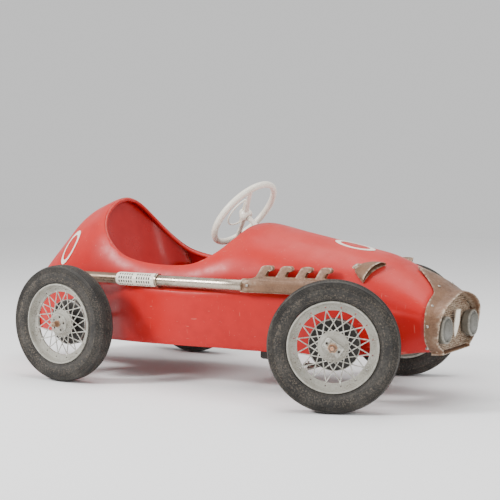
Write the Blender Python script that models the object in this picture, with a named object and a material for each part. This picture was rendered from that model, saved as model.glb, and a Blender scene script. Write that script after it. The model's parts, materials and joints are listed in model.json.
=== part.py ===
"""A single-seater racing pedal car: a moulded body on a steel chassis, four imitation wire wheels,
steering through a slotted arm and a tie rod, and pedals that drive the rear axle by a chain.

Metres. +X is forward, +Y is the car's left, +Z is up. The origin is on the ground at the middle of
the car's length and width. The front wheels stand steered to the left by STEER_REST.
"""

import math

import bmesh
import bpy
from mathutils import Matrix, Vector

# Driving dimensions
WHEEL_RADIUS = 0.140
WHEELBASE = 0.693
REAR_AXLE_X = -0.29725
FRONT_AXLE_X = REAR_AXLE_X + WHEELBASE
AXLE_Z = WHEEL_RADIUS
REAR_TRACK = 0.539
FRONT_TRACK = 0.504
TYRE_WIDTH = 0.050
KINGPIN_OFFSET = 0.081
KINGPIN_Y = FRONT_TRACK / 2 - KINGPIN_OFFSET
STEER_REST = math.radians(24)
STEERING_ARM = 0.055
TIE_ROD_Z = 0.078
TIE_ROD_REST_Y = -STEERING_ARM * math.tan(STEER_REST)

WHEEL_HUB_X = REAR_AXLE_X + 0.349
WHEEL_HUB_Z = 0.400
COLUMN_FOOT_X = REAR_AXLE_X + 0.675
COLUMN_FOOT_Z = 0.1185
COLUMN_RADIUS = 0.006
STEERING_WHEEL_RADIUS = 0.093
SPOKE_ANGLES = (123, 303)
HORN_RING_ANGLE = 33

CRANK_X = REAR_AXLE_X + 0.530
CRANK_Z = 0.150
CRANK_ARM = 0.085
CRANK_ARM_Y = 0.050
PEDAL_Y = 0.0800
PEDAL_SIZE = (0.052, 0.045, 0.020)
PEDAL_ANGLE = math.radians(35)
PEDAL_PIN_RADIUS = 0.004
PEDAL_PIN_END = 0.1055
CHAIN_PITCH = 0.0127
SPROCKET_TEETH = 11
CHAINRING_TEETH = 24
CHAIN_Y = 0.034
SPROCKET_RADIUS = SPROCKET_TEETH * CHAIN_PITCH / (2 * math.pi)
CHAINRING_RADIUS = CHAINRING_TEETH * CHAIN_PITCH / (2 * math.pi)

RAIL_Y = 0.126
RAIL_Z = 0.1177
SKIN = 0.003
GAP = 0.0004
RUNNING = 0.0001

RIM_RADIUS = 0.0963
HOLE_RING_RADIUS = 0.0835
SPOKE_OUTER = 0.0765
SPOKE_INNER = 0.0325
SPOKE_PAIRS = 16
SPOKE_HALF_WIDTH = 0.0016

# Body stations, measured from the rear axle along x:
# x, lower half-width, upper half-width, bottom z, crease z, top z, arch exponent
BODY = (
    (-0.316, 0.018, 0.018, 0.118, 0.135, 0.158, 2.0),
    (-0.308, 0.040, 0.040, 0.102, 0.150, 0.184, 2.0),
    (-0.288, 0.060, 0.062, 0.092, 0.170, 0.216, 2.0),
    (-0.254, 0.080, 0.085, 0.085, 0.190, 0.256, 1.9),
    (-0.171, 0.103, 0.121, 0.082, 0.215, 0.347, 1.7),
    (-0.118, 0.113, 0.139, 0.082, 0.223, 0.397, 1.75),
    (-0.060, 0.124, 0.151, 0.083, 0.227, 0.425, 1.8),
    (-0.012, 0.133, 0.158, 0.084, 0.228, 0.438, 1.9),
    (0.030, 0.142, 0.161, 0.086, 0.228, 0.425, 1.9),
    (0.090, 0.160, 0.163, 0.089, 0.228, 0.375, 1.95),
    (0.170, 0.176, 0.164, 0.092, 0.229, 0.338, 2.0),
    (0.280, 0.180, 0.162, 0.095, 0.229, 0.340, 2.0),
    (0.340, 0.176, 0.159, 0.096, 0.229, 0.362, 2.0),
    (0.392, 0.168, 0.155, 0.096, 0.229, 0.379, 2.0),
    (0.425, 0.162, 0.151, 0.095, 0.228, 0.381, 2.0),
    (0.510, 0.148, 0.142, 0.095, 0.226, 0.364, 2.0),
    (0.593, 0.138, 0.133, 0.096, 0.222, 0.348, 2.0),
    (0.691, 0.130, 0.126, 0.099, 0.216, 0.329, 2.0),
    (0.743, 0.127, 0.123, 0.103, 0.212, 0.316, 2.1),
    (0.805, 0.122, 0.118, 0.110, 0.204, 0.288, 2.1),
    (0.860, 0.116, 0.113, 0.117, 0.196, 0.259, 1.9),
    (0.900, 0.110, 0.107, 0.119, 0.188, 0.236, 1.5),
)

MATERIALS = {
    "body_red": ((0.55, 0.035, 0.03), 0.45, 0.0),
    "bronze_trim": ((0.26, 0.15, 0.095), 0.50, 0.6),
    "pipe_metal": ((0.38, 0.32, 0.26), 0.35, 0.9),
    "cream_plastic": ((0.85, 0.80, 0.68), 0.40, 0.0),
    "wheel_grey": ((0.45, 0.45, 0.41), 0.55, 0.1),
    "tyre_rubber": ((0.06, 0.058, 0.055), 0.80, 0.0),
    "drum_black": ((0.03, 0.03, 0.03), 0.50, 0.2),
    "chassis_steel": ((0.10, 0.09, 0.085), 0.50, 0.7),
    "bright_steel": ((0.55, 0.50, 0.45), 0.30, 1.0),
    "lamp_lens": ((0.70, 0.68, 0.62), 0.20, 0.0),
    "pedal_rubber": ((0.05, 0.05, 0.05), 0.85, 0.0),
}


def clear_scene():
    for old in list(bpy.data.objects):
        bpy.data.objects.remove(old, do_unlink=True)


def material(name):
    if name in bpy.data.materials:
        return bpy.data.materials[name]
    colour, roughness, metallic = MATERIALS[name]
    made = bpy.data.materials.new(name)
    made.use_nodes = True
    shader = made.node_tree.nodes["Principled BSDF"]
    shader.inputs["Base Color"].default_value = (*colour, 1.0)
    shader.inputs["Roughness"].default_value = roughness
    shader.inputs["Metallic"].default_value = metallic
    return made


# Mesh helpers: each returns an object whose mesh is closed, with its faces pointing out.


def object_from(name, points, faces, finish):
    mesh = bpy.data.meshes.new(name)
    mesh.from_pydata([tuple(p) for p in points], [], faces)
    shell = bmesh.new()
    shell.from_mesh(mesh)
    bmesh.ops.recalc_face_normals(shell, faces=shell.faces)
    shell.to_mesh(mesh)
    shell.free()
    mesh.materials.append(material(finish))
    mesh.shade_smooth()
    mesh.set_sharp_from_angle(angle=math.radians(35))
    made = bpy.data.objects.new(name, mesh)
    bpy.context.scene.collection.objects.link(made)
    return made


def box(name, low, high, finish):
    spans = list(zip(low, high))
    corners = [(x, y, z) for x in spans[0] for y in spans[1] for z in spans[2]]
    faces = [(0, 1, 3, 2), (4, 6, 7, 5), (0, 4, 5, 1), (2, 3, 7, 6), (0, 2, 6, 4), (1, 5, 7, 3)]
    return object_from(name, corners, faces, finish)


def loft(name, rings, finish, closed=False):
    """Skin through rings of equal point counts. The ends are capped unless the loft is closed."""
    count = len(rings[0])
    points = [p for ring in rings for p in ring]
    faces = []
    spans = len(rings) if closed else len(rings) - 1
    for i in range(spans):
        first = i * count
        second = (i + 1) % len(rings) * count
        for j in range(count):
            k = (j + 1) % count
            faces.append((first + j, first + k, second + k, second + j))
    if not closed:
        faces.append(tuple(range(count)))
        faces.append(tuple((len(rings) - 1) * count + j for j in range(count)))
    return object_from(name, points, faces, finish)


def turned(name, profile, finish, sides=24, axis="Z", phase=0.0):
    """A ring turned from a closed (radius, height) outline that stays off the axis."""
    rings = []
    for i in range(sides):
        angle = 2 * math.pi * (i + phase) / sides
        rings.append([on_axis(axis, r * math.cos(angle), r * math.sin(angle), h) for r, h in profile])
    return loft(name, rings, finish, closed=True)


def rod(name, profile, finish, sides=16, axis="Z"):
    """A solid turned from (radius, height) steps, capped at both ends."""
    rings = []
    for r, h in profile:
        ring = []
        for i in range(sides):
            angle = 2 * math.pi * i / sides
            ring.append(on_axis(axis, r * math.cos(angle), r * math.sin(angle), h))
        rings.append(ring)
    return loft(name, rings, finish)


def on_axis(axis, across, up, along):
    if axis == "X":
        return (along, across, up)
    if axis == "Y":
        return (across, along, up)
    return (across, up, along)


def swept(name, path, section, finish, side=Vector((0, 0, 1))):
    """A section of (sideways, upwards) points swept along a path; upwards stays close to side."""
    path = [Vector(p) for p in path]
    rings = []
    for i, centre in enumerate(path):
        before = path[max(i - 1, 0)]
        after = path[min(i + 1, len(path) - 1)]
        forward = (after - before).normalized()
        sideways = side.cross(forward).normalized()
        upwards = forward.cross(sideways)
        rings.append([centre + sideways * a + upwards * b for a, b in section])
    return loft(name, rings, finish)


def circle(radius, sides):
    turns = [2 * math.pi * i / sides for i in range(sides)]
    return [(radius * math.cos(a), radius * math.sin(a)) for a in turns]


def rectangle(width, height):
    signs = ((-1, -1), (1, -1), (1, 1), (-1, 1))
    return [(a * width / 2, b * height / 2) for a, b in signs]


def plate(name, outline, low, high, finish, axis="Y"):
    """A flat outline given thickness between two places on its axis."""
    rings = []
    for place in (low, high):
        rings.append([on_axis(axis, a, b, place) for a, b in outline])
    return loft(name, rings, finish)


def combine(target, other, operation):
    """Join another solid to the target or cut it away, then drop the other."""
    modifier = target.modifiers.new(operation.title(), "BOOLEAN")
    modifier.operation = operation
    modifier.object = other
    bpy.context.view_layer.update()
    evaluated = target.evaluated_get(bpy.context.evaluated_depsgraph_get())
    result = bpy.data.meshes.new_from_object(evaluated)
    target.modifiers.clear()
    target.data = result
    bpy.data.objects.remove(other, do_unlink=True)
    return target


def join(target, *others):
    for other in others:
        combine(target, other, "UNION")
    return target


def cut(target, *others):
    for other in others:
        combine(target, other, "DIFFERENCE")
    return target


def moved(piece, matrix):
    """Bake a placement into the mesh."""
    piece.data.transform(matrix)
    return piece


def frame_at(name, place, rotation=None):
    """An empty on a joint's axis, which carries the pieces of one moving body."""
    empty = bpy.data.objects.new(name, None)
    empty.matrix_world = Matrix.Translation(place) @ (rotation or Matrix.Identity(4))
    bpy.context.scene.collection.objects.link(empty)
    return empty


def carry(parent, *pieces):
    for piece in pieces:
        piece.parent = parent


# Body form


def smooth_between(table, x):
    """A row of values at x, on a Catmull-Rom curve through the table's rows."""
    x = min(max(x, table[0][0]), table[-1][0])
    i = 0
    while i < len(table) - 2 and x > table[i + 1][0]:
        i += 1
    rows = [table[max(i - 1, 0)], table[i], table[i + 1], table[min(i + 2, len(table) - 1)]]
    span = rows[2][0] - rows[1][0]
    t = (x - rows[1][0]) / span
    values = []
    for c in range(1, len(rows[1])):
        start = (rows[2][c] - rows[0][c]) / max(rows[2][0] - rows[0][0], span) * span
        end = (rows[3][c] - rows[1][c]) / max(rows[3][0] - rows[1][0], span) * span
        a = 2 * rows[1][c] - 2 * rows[2][c] + start + end
        b = -3 * rows[1][c] + 3 * rows[2][c] - 2 * start - end
        values.append(a * t**3 + b * t**2 + start * t + rows[1][c])
    return values


def flank(x, share):
    """The lower side's width at a share of its height: tucked in below, and rounder at the nose."""
    along = min(max((x - 0.76) / 0.14, 0.0), 1.0)
    tuck = 0.07 + 0.28 * along**2 * (3 - 2 * along)
    return 1 - tuck * max(1 - share / 0.85, 0.0) ** 3


def half_section(x, grow=0.0, arch_steps=7):
    """(y, z) from the bottom edge up the side and over to the top centre, for a station at x."""
    lower, upper, bottom, crease, top, power = smooth_between(BODY, x)
    upper = min(upper, lower) if x > 0.12 else upper
    lower += grow
    upper += grow
    height = top + grow - crease
    side = [(lower * flank(x, share), bottom + share * (crease - bottom)) for share in (0.0, 0.12, 0.3, 0.7)]
    side.append((lower, crease - 0.004))
    for i in range(arch_steps + 1):
        angle = math.pi / 2 * i / arch_steps
        y = upper * math.cos(angle) ** (2 / power)
        z = crease + 0.004 + (height - 0.004) * math.sin(angle) ** (2 / power)
        side.append((y, z))
    return side


def arch_half_width(x, z):
    """Half-width of the upper body at height z."""
    lower, upper, bottom, crease, top, power = smooth_between(BODY, x)
    share = min(max((z - crease) / (top - crease), 0.0), 1.0)
    return upper * (1 - share**power) ** (1 / power)


def top_of_body(x, y):
    lower, upper, bottom, crease, top, power = smooth_between(BODY, x)
    share = min(abs(y) / upper, 1.0)
    return crease + (top - crease) * (1 - share**power) ** (1 / power)


def thickened(name, rows, inward, finish, cap_first=False):
    """A closed shell from a grid of outer points: every point is doubled along its own normal."""
    count = len(rows[0])
    points = [Vector(p) for row in rows for p in row]
    faces = []
    for i in range(len(rows) - 1):
        for j in range(count - 1):
            a = i * count + j
            faces.append((a, a + count, a + count + 1, a + 1))
    if cap_first:
        faces.append(tuple(range(count)))
    mesh = bpy.data.meshes.new(name)
    mesh.from_pydata([tuple(p) for p in points], [], faces)
    mesh.materials.append(material(finish))
    mesh.shade_smooth()
    mesh.set_sharp_from_angle(angle=math.radians(35))
    made = bpy.data.objects.new(name, mesh)
    bpy.context.scene.collection.objects.link(made)
    solidify = made.modifiers.new("Thickness", "SOLIDIFY")
    solidify.thickness = inward
    solidify.offset = -1
    solidify.use_rim = True
    bpy.context.view_layer.update()
    evaluated = made.evaluated_get(bpy.context.evaluated_depsgraph_get())
    result = bpy.data.meshes.new_from_object(evaluated)
    made.modifiers.clear()
    shell = bmesh.new()
    shell.from_mesh(result)
    bmesh.ops.recalc_face_normals(shell, faces=shell.faces)
    shell.to_mesh(result)
    shell.free()
    made.data = result
    return made


def body_shell():
    stations = [-0.316, -0.308, -0.288, -0.254, -0.212, -0.171, -0.118, -0.070, -0.030, 0.005, 0.040, 0.080,
                0.125, 0.170, 0.225, 0.280, 0.340, 0.392, 0.440, 0.510, 0.593, 0.691,
                0.760, 0.810, 0.850, 0.8725]
    rows = []
    for x in stations:
        half = half_section(x)
        right = [(REAR_AXLE_X + x, -y, z) for y, z in half]
        left = [(REAR_AXLE_X + x, y, z) for y, z in reversed(half[:-1])]
        rows.append(right + left)
    shell = thickened("body_shell", rows, SKIN, "body_red", cap_first=True)
    cut(shell, cockpit_cutter())
    for axle_x, half_width in ((REAR_AXLE_X, 0.016), (FRONT_AXLE_X, 0.018)):
        low = (axle_x - half_width, -0.3, 0.05)
        high = (axle_x + half_width, 0.3, AXLE_Z + 0.018)
        cut(shell, box("axle_slot", low, high, "body_red"))
    return shell


def cockpit_outline():
    """Plan of the cockpit opening: flat-backed, long-sided, with a rounded front."""
    outline = []
    back, front, half = REAR_AXLE_X - 0.020, REAR_AXLE_X + 0.392, 0.1455
    middle = (back + front) / 2
    for i in range(40):
        angle = 2 * math.pi * i / 40
        c, s = math.cos(angle), math.sin(angle)
        power = 2 / (4.2 if c < 0 else 3.6)
        x = middle + (front - back) / 2 * math.copysign(abs(c) ** power, c)
        y = half * math.copysign(abs(s) ** power, s)
        outline.append((x, y))
    return outline


def cockpit_cutter():
    return plate("cockpit_cutter", cockpit_outline(), 0.245, 0.60, "body_red", axis="Z")


def nose_ring(rearward, front, grow, scale=1.0):
    """A ring round the nose that follows the body's section. rearward is the share of the way back
    from the front to the cowl's rear edge; scale shrinks the ring to the middle of the mouth."""
    centre_z = 0.172
    half = []
    for index, (y, z) in enumerate(half_section(0.86, grow)):
        tongue = 0.069 * max(0.0, 1 - y / 0.075) ** 1.5 if z > 0.2 else 0.0
        x = front - (front - 0.874 + tongue) * rearward
        y, z = half_section(x, grow)[index]
        half.append((x, y, z))
    x, y, z = half[0]
    under = [(x, y * share, z - grow) for share in (1.0, 0.5)]
    right = [(x, -y, z) for x, y, z in under[::-1] + half]
    left = [(x, y, z) for x, y, z in reversed(under[::-1] + half[:-1])]
    ring = right + left + [(x, 0.0, under[0][2])]
    return [(REAR_AXLE_X + x, y * scale, centre_z + (z - centre_z) * scale) for x, y, z in ring]


def nose_cowl():
    """Surround of the nose, with a thin lip that stands forward into a brow at the top."""
    outer = 0.0066
    inner = 0.0040
    front = 0.89325
    rings = [nose_ring(share, front, outer) for share in (1.0, 0.5, 0.0)]
    for scale, forward in ((0.985, 0.010), (0.965, 0.015), (0.945, 0.010)):
        rings.append(brow(nose_ring(0.0, front, outer, scale), forward))
    rings.append(brow(nose_ring(0.0, front, outer, 0.935), -0.006))
    rings.append(brow(nose_ring(0.0, front, inner, 0.975), -0.004))
    rings += [nose_ring(share, front - 0.003, inner) for share in (0.5, 1.0)]
    return loft("nose_cowl", rings, "bronze_trim", closed=True)


def brow(ring, forward):
    """Move a ring forward, least at the bottom and most at the top."""
    moved_points = []
    for x, y, z in ring:
        height = min(max((z - 0.14) / 0.09, 0.0), 1.0)
        share = 0.15 + 1.3 * height if forward > 0 else 1.0
        moved_points.append((x + forward * share, y, z))
    return moved_points


GRILLE_X = REAR_AXLE_X + 0.884
LAMP_Y = 0.0735
LAMP_Z = 0.167
LAMP_NECK_RADIUS = 0.0180
LAMP_HOLE_RADIUS = LAMP_NECK_RADIUS + 0.0005


def grille():
    outline = [(y, z) for x, y, z in nose_ring(0.0, 0.890, 0.0, 0.95)]
    rings = []
    for x in (GRILLE_X, GRILLE_X + 0.004):
        rings.append([(x, y, z) for y, z in outline])
    face = loft("grille", rings, "bronze_trim")
    for i in range(9):
        z = 0.130 + 0.011 * i
        low = (GRILLE_X + 0.002, -0.042, z)
        high = (GRILLE_X + 0.0075, 0.042, z + 0.004)
        join(face, box("slat", low, high, "bronze_trim"))
    for side in (-1, 1):
        hole = rod("lamp_hole", [(LAMP_HOLE_RADIUS, -0.01), (LAMP_HOLE_RADIUS, 0.02)], "bronze_trim", 20, "X")
        cut(face, moved(hole, Matrix.Translation((GRILLE_X, side * LAMP_Y, LAMP_Z))))
    return face


def badge_plate():
    half = [(0.010, 0.036), (0.0125, 0.010), (0.008, -0.012)]
    outline = half + [(0, -0.024)] + [(-y, z) for y, z in reversed(half)]
    shield = plate("badge_plate", outline, 0, 0.002, "cream_plastic", axis="X")
    return moved(shield, Matrix.Translation((GRILLE_X + 0.0079, 0, 0.168)))


def headlamp(side):
    word = "left" if side > 0 else "right"
    place = Matrix.Translation((GRILLE_X, side * LAMP_Y, LAMP_Z))
    bowl_profile = [(LAMP_NECK_RADIUS, -0.020), (LAMP_NECK_RADIUS, 0.0045), (0.0285, 0.0045), (0.0298, 0.012),
                    (0.0295, 0.022), (0.0270, 0.0245), (0.0252, 0.0225), (0.0252, 0.0150), (0.0120, 0.0060),
                    (0.0120, -0.020)]
    bowl = turned(f"headlamp_body_{word}", bowl_profile, "wheel_grey", 24, "X")
    lens_profile = [(0.0246, 0.0165), (0.0246, 0.0225), (0.0190, 0.0255), (0.0095, 0.0272), (0.0010, 0.0276)]
    lens = rod(f"headlamp_lens_{word}", lens_profile, "lamp_lens", 20, "X")
    return moved(bowl, place), moved(lens, place)


def on_body(x, y, out):
    """A point over the bonnet, lifted along its normal."""
    z = top_of_body(x, y)
    step = 0.004
    slope_x = (top_of_body(x + step, y) - top_of_body(x - step, y)) / (2 * step)
    slope_y = (top_of_body(x, y + step) - top_of_body(x, y - step)) / (2 * step)
    normal = Vector((-slope_x, -slope_y, 1)).normalized()
    return Vector((REAR_AXLE_X + x, y, z)) + normal * out


def air_scoop(side):
    """A half-round cowl on the bonnet's shoulder with its mouth facing forward."""
    word = "left" if side > 0 else "right"
    outside = ((0.698, 0.005, 0.003), (0.708, 0.013, 0.008), (0.724, 0.018, 0.013), (0.748, 0.021, 0.016))
    inside = ((0.748, 0.0187, 0.0138), (0.728, 0.0155, 0.0106), (0.714, 0.0085, 0.0055))
    rings = [scoop_ring(x, width, rise, side, 0.0024) for x, width, rise in outside]
    rings += [scoop_ring(x, width, rise, side, 0.0042) for x, width, rise in inside]
    return loft(f"air_scoop_{word}", rings, "bronze_trim")


SCOOP_Y = 0.089
SCOOP_SLANT = 0.55


def scoop_ring(x, width, rise, side, clear):
    """A half-round section of the scoop, slanting back towards the flank."""
    ring = []
    for i in range(13):
        angle = math.pi * i / 12
        out = -width * math.cos(angle)
        place = (x - SCOOP_SLANT * out, side * (SCOOP_Y + out))
        ring.append(on_body(*place, clear + rise * math.sin(angle)))
    for i in range(1, 6):
        out = width * (1 - i / 3)
        ring.append(on_body(x - SCOOP_SLANT * out, side * (SCOOP_Y + out), clear))
    return ring


# Exhaust on the right-hand side

PIPE_RADIUS = 0.0130
PIPE_Z = 0.2465
PIPE_FRONT = (REAR_AXLE_X + 0.452, -0.1705)
PIPE_BACK = (REAR_AXLE_X - 0.118, -0.1900)


def pipe_point(share):
    x = PIPE_BACK[0] + (PIPE_FRONT[0] - PIPE_BACK[0]) * share
    y = PIPE_BACK[1] + (PIPE_FRONT[1] - PIPE_BACK[1]) * share
    return Vector((x, y, PIPE_Z))


def exhaust_pipe():
    pipe = swept("exhaust_pipe", [pipe_point(0), pipe_point(1)], circle(PIPE_RADIUS, 20), "pipe_metal")
    bore = swept("bore", [pipe_point(-0.05), pipe_point(0.20)], circle(PIPE_RADIUS - 0.002, 20), "pipe_metal")
    return cut(pipe, bore)


def exhaust_sleeve():
    start, end = 0.388, 0.585
    rings = []
    for share, radius in ((start, 0.0145), (start + 0.006, 0.0160), (end - 0.006, 0.0160), (end, 0.0145)):
        rings.append(pipe_ring(share, radius))
    for share in (end, start):
        rings.append(pipe_ring(share, PIPE_RADIUS + GAP))
    return loft("exhaust_sleeve", rings, "cream_plastic", closed=True)


def pipe_ring(share, radius):
    direction = (pipe_point(1) - pipe_point(0)).normalized()
    sideways = Vector((0, 0, 1)).cross(direction).normalized()
    upwards = direction.cross(sideways)
    return [pipe_point(share) + sideways * a + upwards * b for a, b in circle(radius, 20)]


def side_offset(x):
    """y of the right-hand flank where the manifold lies."""
    lower, upper, bottom, crease, top, power = smooth_between(BODY, x)
    return -(lower + 0.0100)


def exhaust_manifold():
    path = []
    for i in range(7):
        x = 0.4540 + 0.201 * i / 6
        path.append((REAR_AXLE_X + x, side_offset(x) - 0.001, PIPE_Z - 0.0005 + 0.0075 * i / 6))
    casting = swept("exhaust_manifold", path, rectangle(0.017, 0.024), "bronze_trim")
    for i in range(4):
        x = 0.472 + 0.0475 * i
        y = side_offset(x)
        base = Vector((REAR_AXLE_X + x, y, PIPE_Z))
        steps = []
        for step in ((0.0, 0.0, 0.0), (0.006, 0.002, 0.014), (0.014, 0.007, 0.026), (0.028, 0.014, 0.034)):
            steps.append(base + Vector(step))
        stub = swept("stub", steps, rectangle(0.012, 0.013), "bronze_trim", side=Vector((0, -1, 0.2)))
        join(casting, stub)
    return casting


def tail_cap():
    """Bronze cap wrapped low round the tail's point, standing off the body."""
    stand_off = 0.0045
    rows = []
    for level in (-0.04, 0.3, 0.6, 0.9):
        flank = []
        for x in (-0.254, -0.288, -0.308, -0.316):
            lower, upper, bottom, crease, top, power = smooth_between(BODY, x)
            tuck = 0.93 + 0.07 * min(max(level, 0) / 0.7, 1.0)
            z = bottom + level * (crease - bottom)
            flank.append((REAR_AXLE_X + x - stand_off, lower * tuck + stand_off, z))
        tail_x = REAR_AXLE_X - 0.316 - stand_off
        z = flank[-1][2]
        right = [(x, -y, z) for x, y, z in flank]
        left = [(x, y, z) for x, y, z in reversed(flank)]
        rows.append(right + [(tail_x, -0.008, z), (tail_x, 0.008, z)] + left)
    return thickened("tail_cap", rows, 0.0025, "bronze_trim")


def seat():
    """Moulded seat: a back that closes the headrest, curving into a pan with raised sides."""
    spine = [(-0.031, 0.420), (-0.029, 0.395), (-0.021, 0.350), (-0.008, 0.300), (0.010, 0.255),
             (0.038, 0.218), (0.077, 0.196), (0.130, 0.188), (0.190, 0.188), (0.250, 0.194), (0.275, 0.196)]
    rows = []
    for x, z in spine:
        half = min(arch_half_width(x, z + 0.006) - 0.009, 0.142) if z > 0.24 else 0.138
        back = min(max((z - 0.20) / 0.06, 0.0), 1.0)
        row = []
        for j in range(13):
            v = -1 + j / 6
            wrap = abs(v) ** 3
            row.append((REAR_AXLE_X + x + 0.016 * wrap * back, half * v, z + 0.034 * wrap * (1 - back)))
        rows.append(row)
    return thickened("seat", rows, 0.003, "body_red")


# Chassis


def chassis_rail(side):
    word = "left" if side > 0 else "right"
    narrow_rear, narrow_front = 0.112, 0.110
    bends = (
        (-0.045, narrow_rear),
        (0.040, narrow_rear),
        (0.120, RAIL_Y),
        (0.560, RAIL_Y),
        (0.660, narrow_front),
        (0.725, narrow_front),
    )
    path = [(REAR_AXLE_X + x, side * y, RAIL_Z) for x, y in bends]
    return swept(f"chassis_rail_{word}", path, rectangle(0.008, 0.020), "chassis_steel")


def cross_member(name, x):
    top_of_rail = RAIL_Z + 0.010
    low = (REAR_AXLE_X + x - 0.010, -RAIL_Y, top_of_rail + GAP)
    high = (REAR_AXLE_X + x + 0.010, RAIL_Y, top_of_rail + GAP + 0.010)
    return box(name, low, high, "chassis_steel")


def crank_boom():
    """Cross-member with a boom that carries the crank's bearing shell forward of it."""
    boom = cross_member("crank_boom", 0.395)
    start = (REAR_AXLE_X + 0.390, 0, 0.1335)
    end = (CRANK_X, 0, CRANK_Z)
    join(boom, swept("tube", [start, end], circle(0.0095, 12), "chassis_steel"))
    shell = rod("shell", [(0.016, -0.022), (0.016, 0.022)], "chassis_steel", 20, "Y")
    join(boom, moved(shell, Matrix.Translation((CRANK_X, 0, CRANK_Z))))
    bore = rod("bore", [(0.006 + RUNNING, -0.05), (0.006 + RUNNING, 0.05)], "chassis_steel", 20, "Y")
    return cut(boom, moved(bore, Matrix.Translation((CRANK_X, 0, CRANK_Z))))


def rear_axle_bearing(side):
    word = "left" if side > 0 else "right"
    y = side * 0.112
    low = (REAR_AXLE_X - 0.014, y - 0.007, RAIL_Z + 0.010 + GAP)
    high = (REAR_AXLE_X + 0.014, y + 0.007, AXLE_Z + 0.014)
    block = box(f"rear_axle_bearing_{word}", low, high, "chassis_steel")
    bore = rod("bore", [(0.006 + RUNNING, -0.02), (0.006 + RUNNING, 0.02)], "chassis_steel", 20, "Y")
    return cut(block, moved(bore, Matrix.Translation((REAR_AXLE_X, y, AXLE_Z))))


KINGPIN_RADIUS = 0.0045


def front_axle_beam():
    height = 0.016
    low = (FRONT_AXLE_X - 0.008, -KINGPIN_Y, AXLE_Z - height / 2)
    high = (FRONT_AXLE_X + 0.008, KINGPIN_Y, AXLE_Z + height / 2)
    beam = box("front_axle_beam", low, high, "chassis_steel")
    for side in (-1, 1):
        place = Matrix.Translation((FRONT_AXLE_X, side * KINGPIN_Y, AXLE_Z))
        eye = rod("eye", [(0.0105, -0.0117), (0.0105, 0.0117)], "chassis_steel", 20)
        join(beam, moved(eye, place))
        bore = rod("bore", [(KINGPIN_RADIUS + GAP, -0.03), (KINGPIN_RADIUS + GAP, 0.03)], "chassis_steel", 20)
        cut(beam, moved(bore, place))
    return beam


def kingpin(side):
    word = "left" if side > 0 else "right"
    profile = [
        (KINGPIN_RADIUS, 0.0800),
        (KINGPIN_RADIUS, 0.1650),
        (0.0075, 0.1650),
        (0.0075, 0.1680),
        (0.0040, 0.1700),
    ]
    pin = rod(f"kingpin_{word}", profile, "bright_steel", 20)
    return moved(pin, Matrix.Translation((FRONT_AXLE_X, side * KINGPIN_Y, 0)))


def column_direction():
    reach = Vector((COLUMN_FOOT_X - WHEEL_HUB_X, 0, COLUMN_FOOT_Z - WHEEL_HUB_Z))
    return reach.normalized()


def column_matrix():
    """Column frame: local z runs up the column to the driver, local x points down and back."""
    up = -column_direction()
    right = Vector((0, -1, 0))
    basis = Matrix((right.cross(up), right, up)).transposed().to_4x4()
    return Matrix.Translation((COLUMN_FOOT_X, 0, COLUMN_FOOT_Z)) @ basis


def column_length():
    return (Vector((WHEEL_HUB_X, 0, WHEEL_HUB_Z)) - Vector((COLUMN_FOOT_X, 0, COLUMN_FOOT_Z))).length


def column_foot():
    """Bracket behind the axle beam that carries the column's lower end."""
    ring = rod("column_foot", [(0.012, 0.016), (0.012, 0.034)], "chassis_steel", 20)
    moved(ring, column_matrix())
    arm_low = (FRONT_AXLE_X - 0.018, -0.010, AXLE_Z + 0.008 + GAP)
    arm_high = (FRONT_AXLE_X + 0.008, 0.010, AXLE_Z + 0.0125)
    join(ring, box("arm", arm_low, arm_high, "chassis_steel"))
    post_low = (FRONT_AXLE_X - 0.032, -0.010, AXLE_Z + 0.003)
    post_high = (FRONT_AXLE_X - 0.012, 0.010, AXLE_Z + 0.0125)
    join(ring, box("post", post_low, post_high, "chassis_steel"))
    radius = COLUMN_RADIUS + RUNNING
    bore = rod("bore", [(radius, -0.02), (radius, 0.09)], "chassis_steel", 20)
    return cut(ring, moved(bore, column_matrix()))


def column_bush():
    """Bush with a stem that hangs the column from the scuttle."""
    along = column_length() - 0.115
    ring = rod("column_bush", [(0.012, along - 0.008), (0.012, along + 0.008)], "chassis_steel", 20)
    stem_low = (-0.036, -0.006, along - 0.006)
    stem_high = (-0.008, 0.006, along + 0.006)
    join(ring, box("stem", stem_low, stem_high, "chassis_steel"))
    moved(ring, column_matrix())
    radius = COLUMN_RADIUS + RUNNING
    bore = rod("bore", [(radius, along - 0.03), (radius, along + 0.03)], "chassis_steel", 20)
    return cut(ring, moved(bore, column_matrix()))


# Steering


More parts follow.
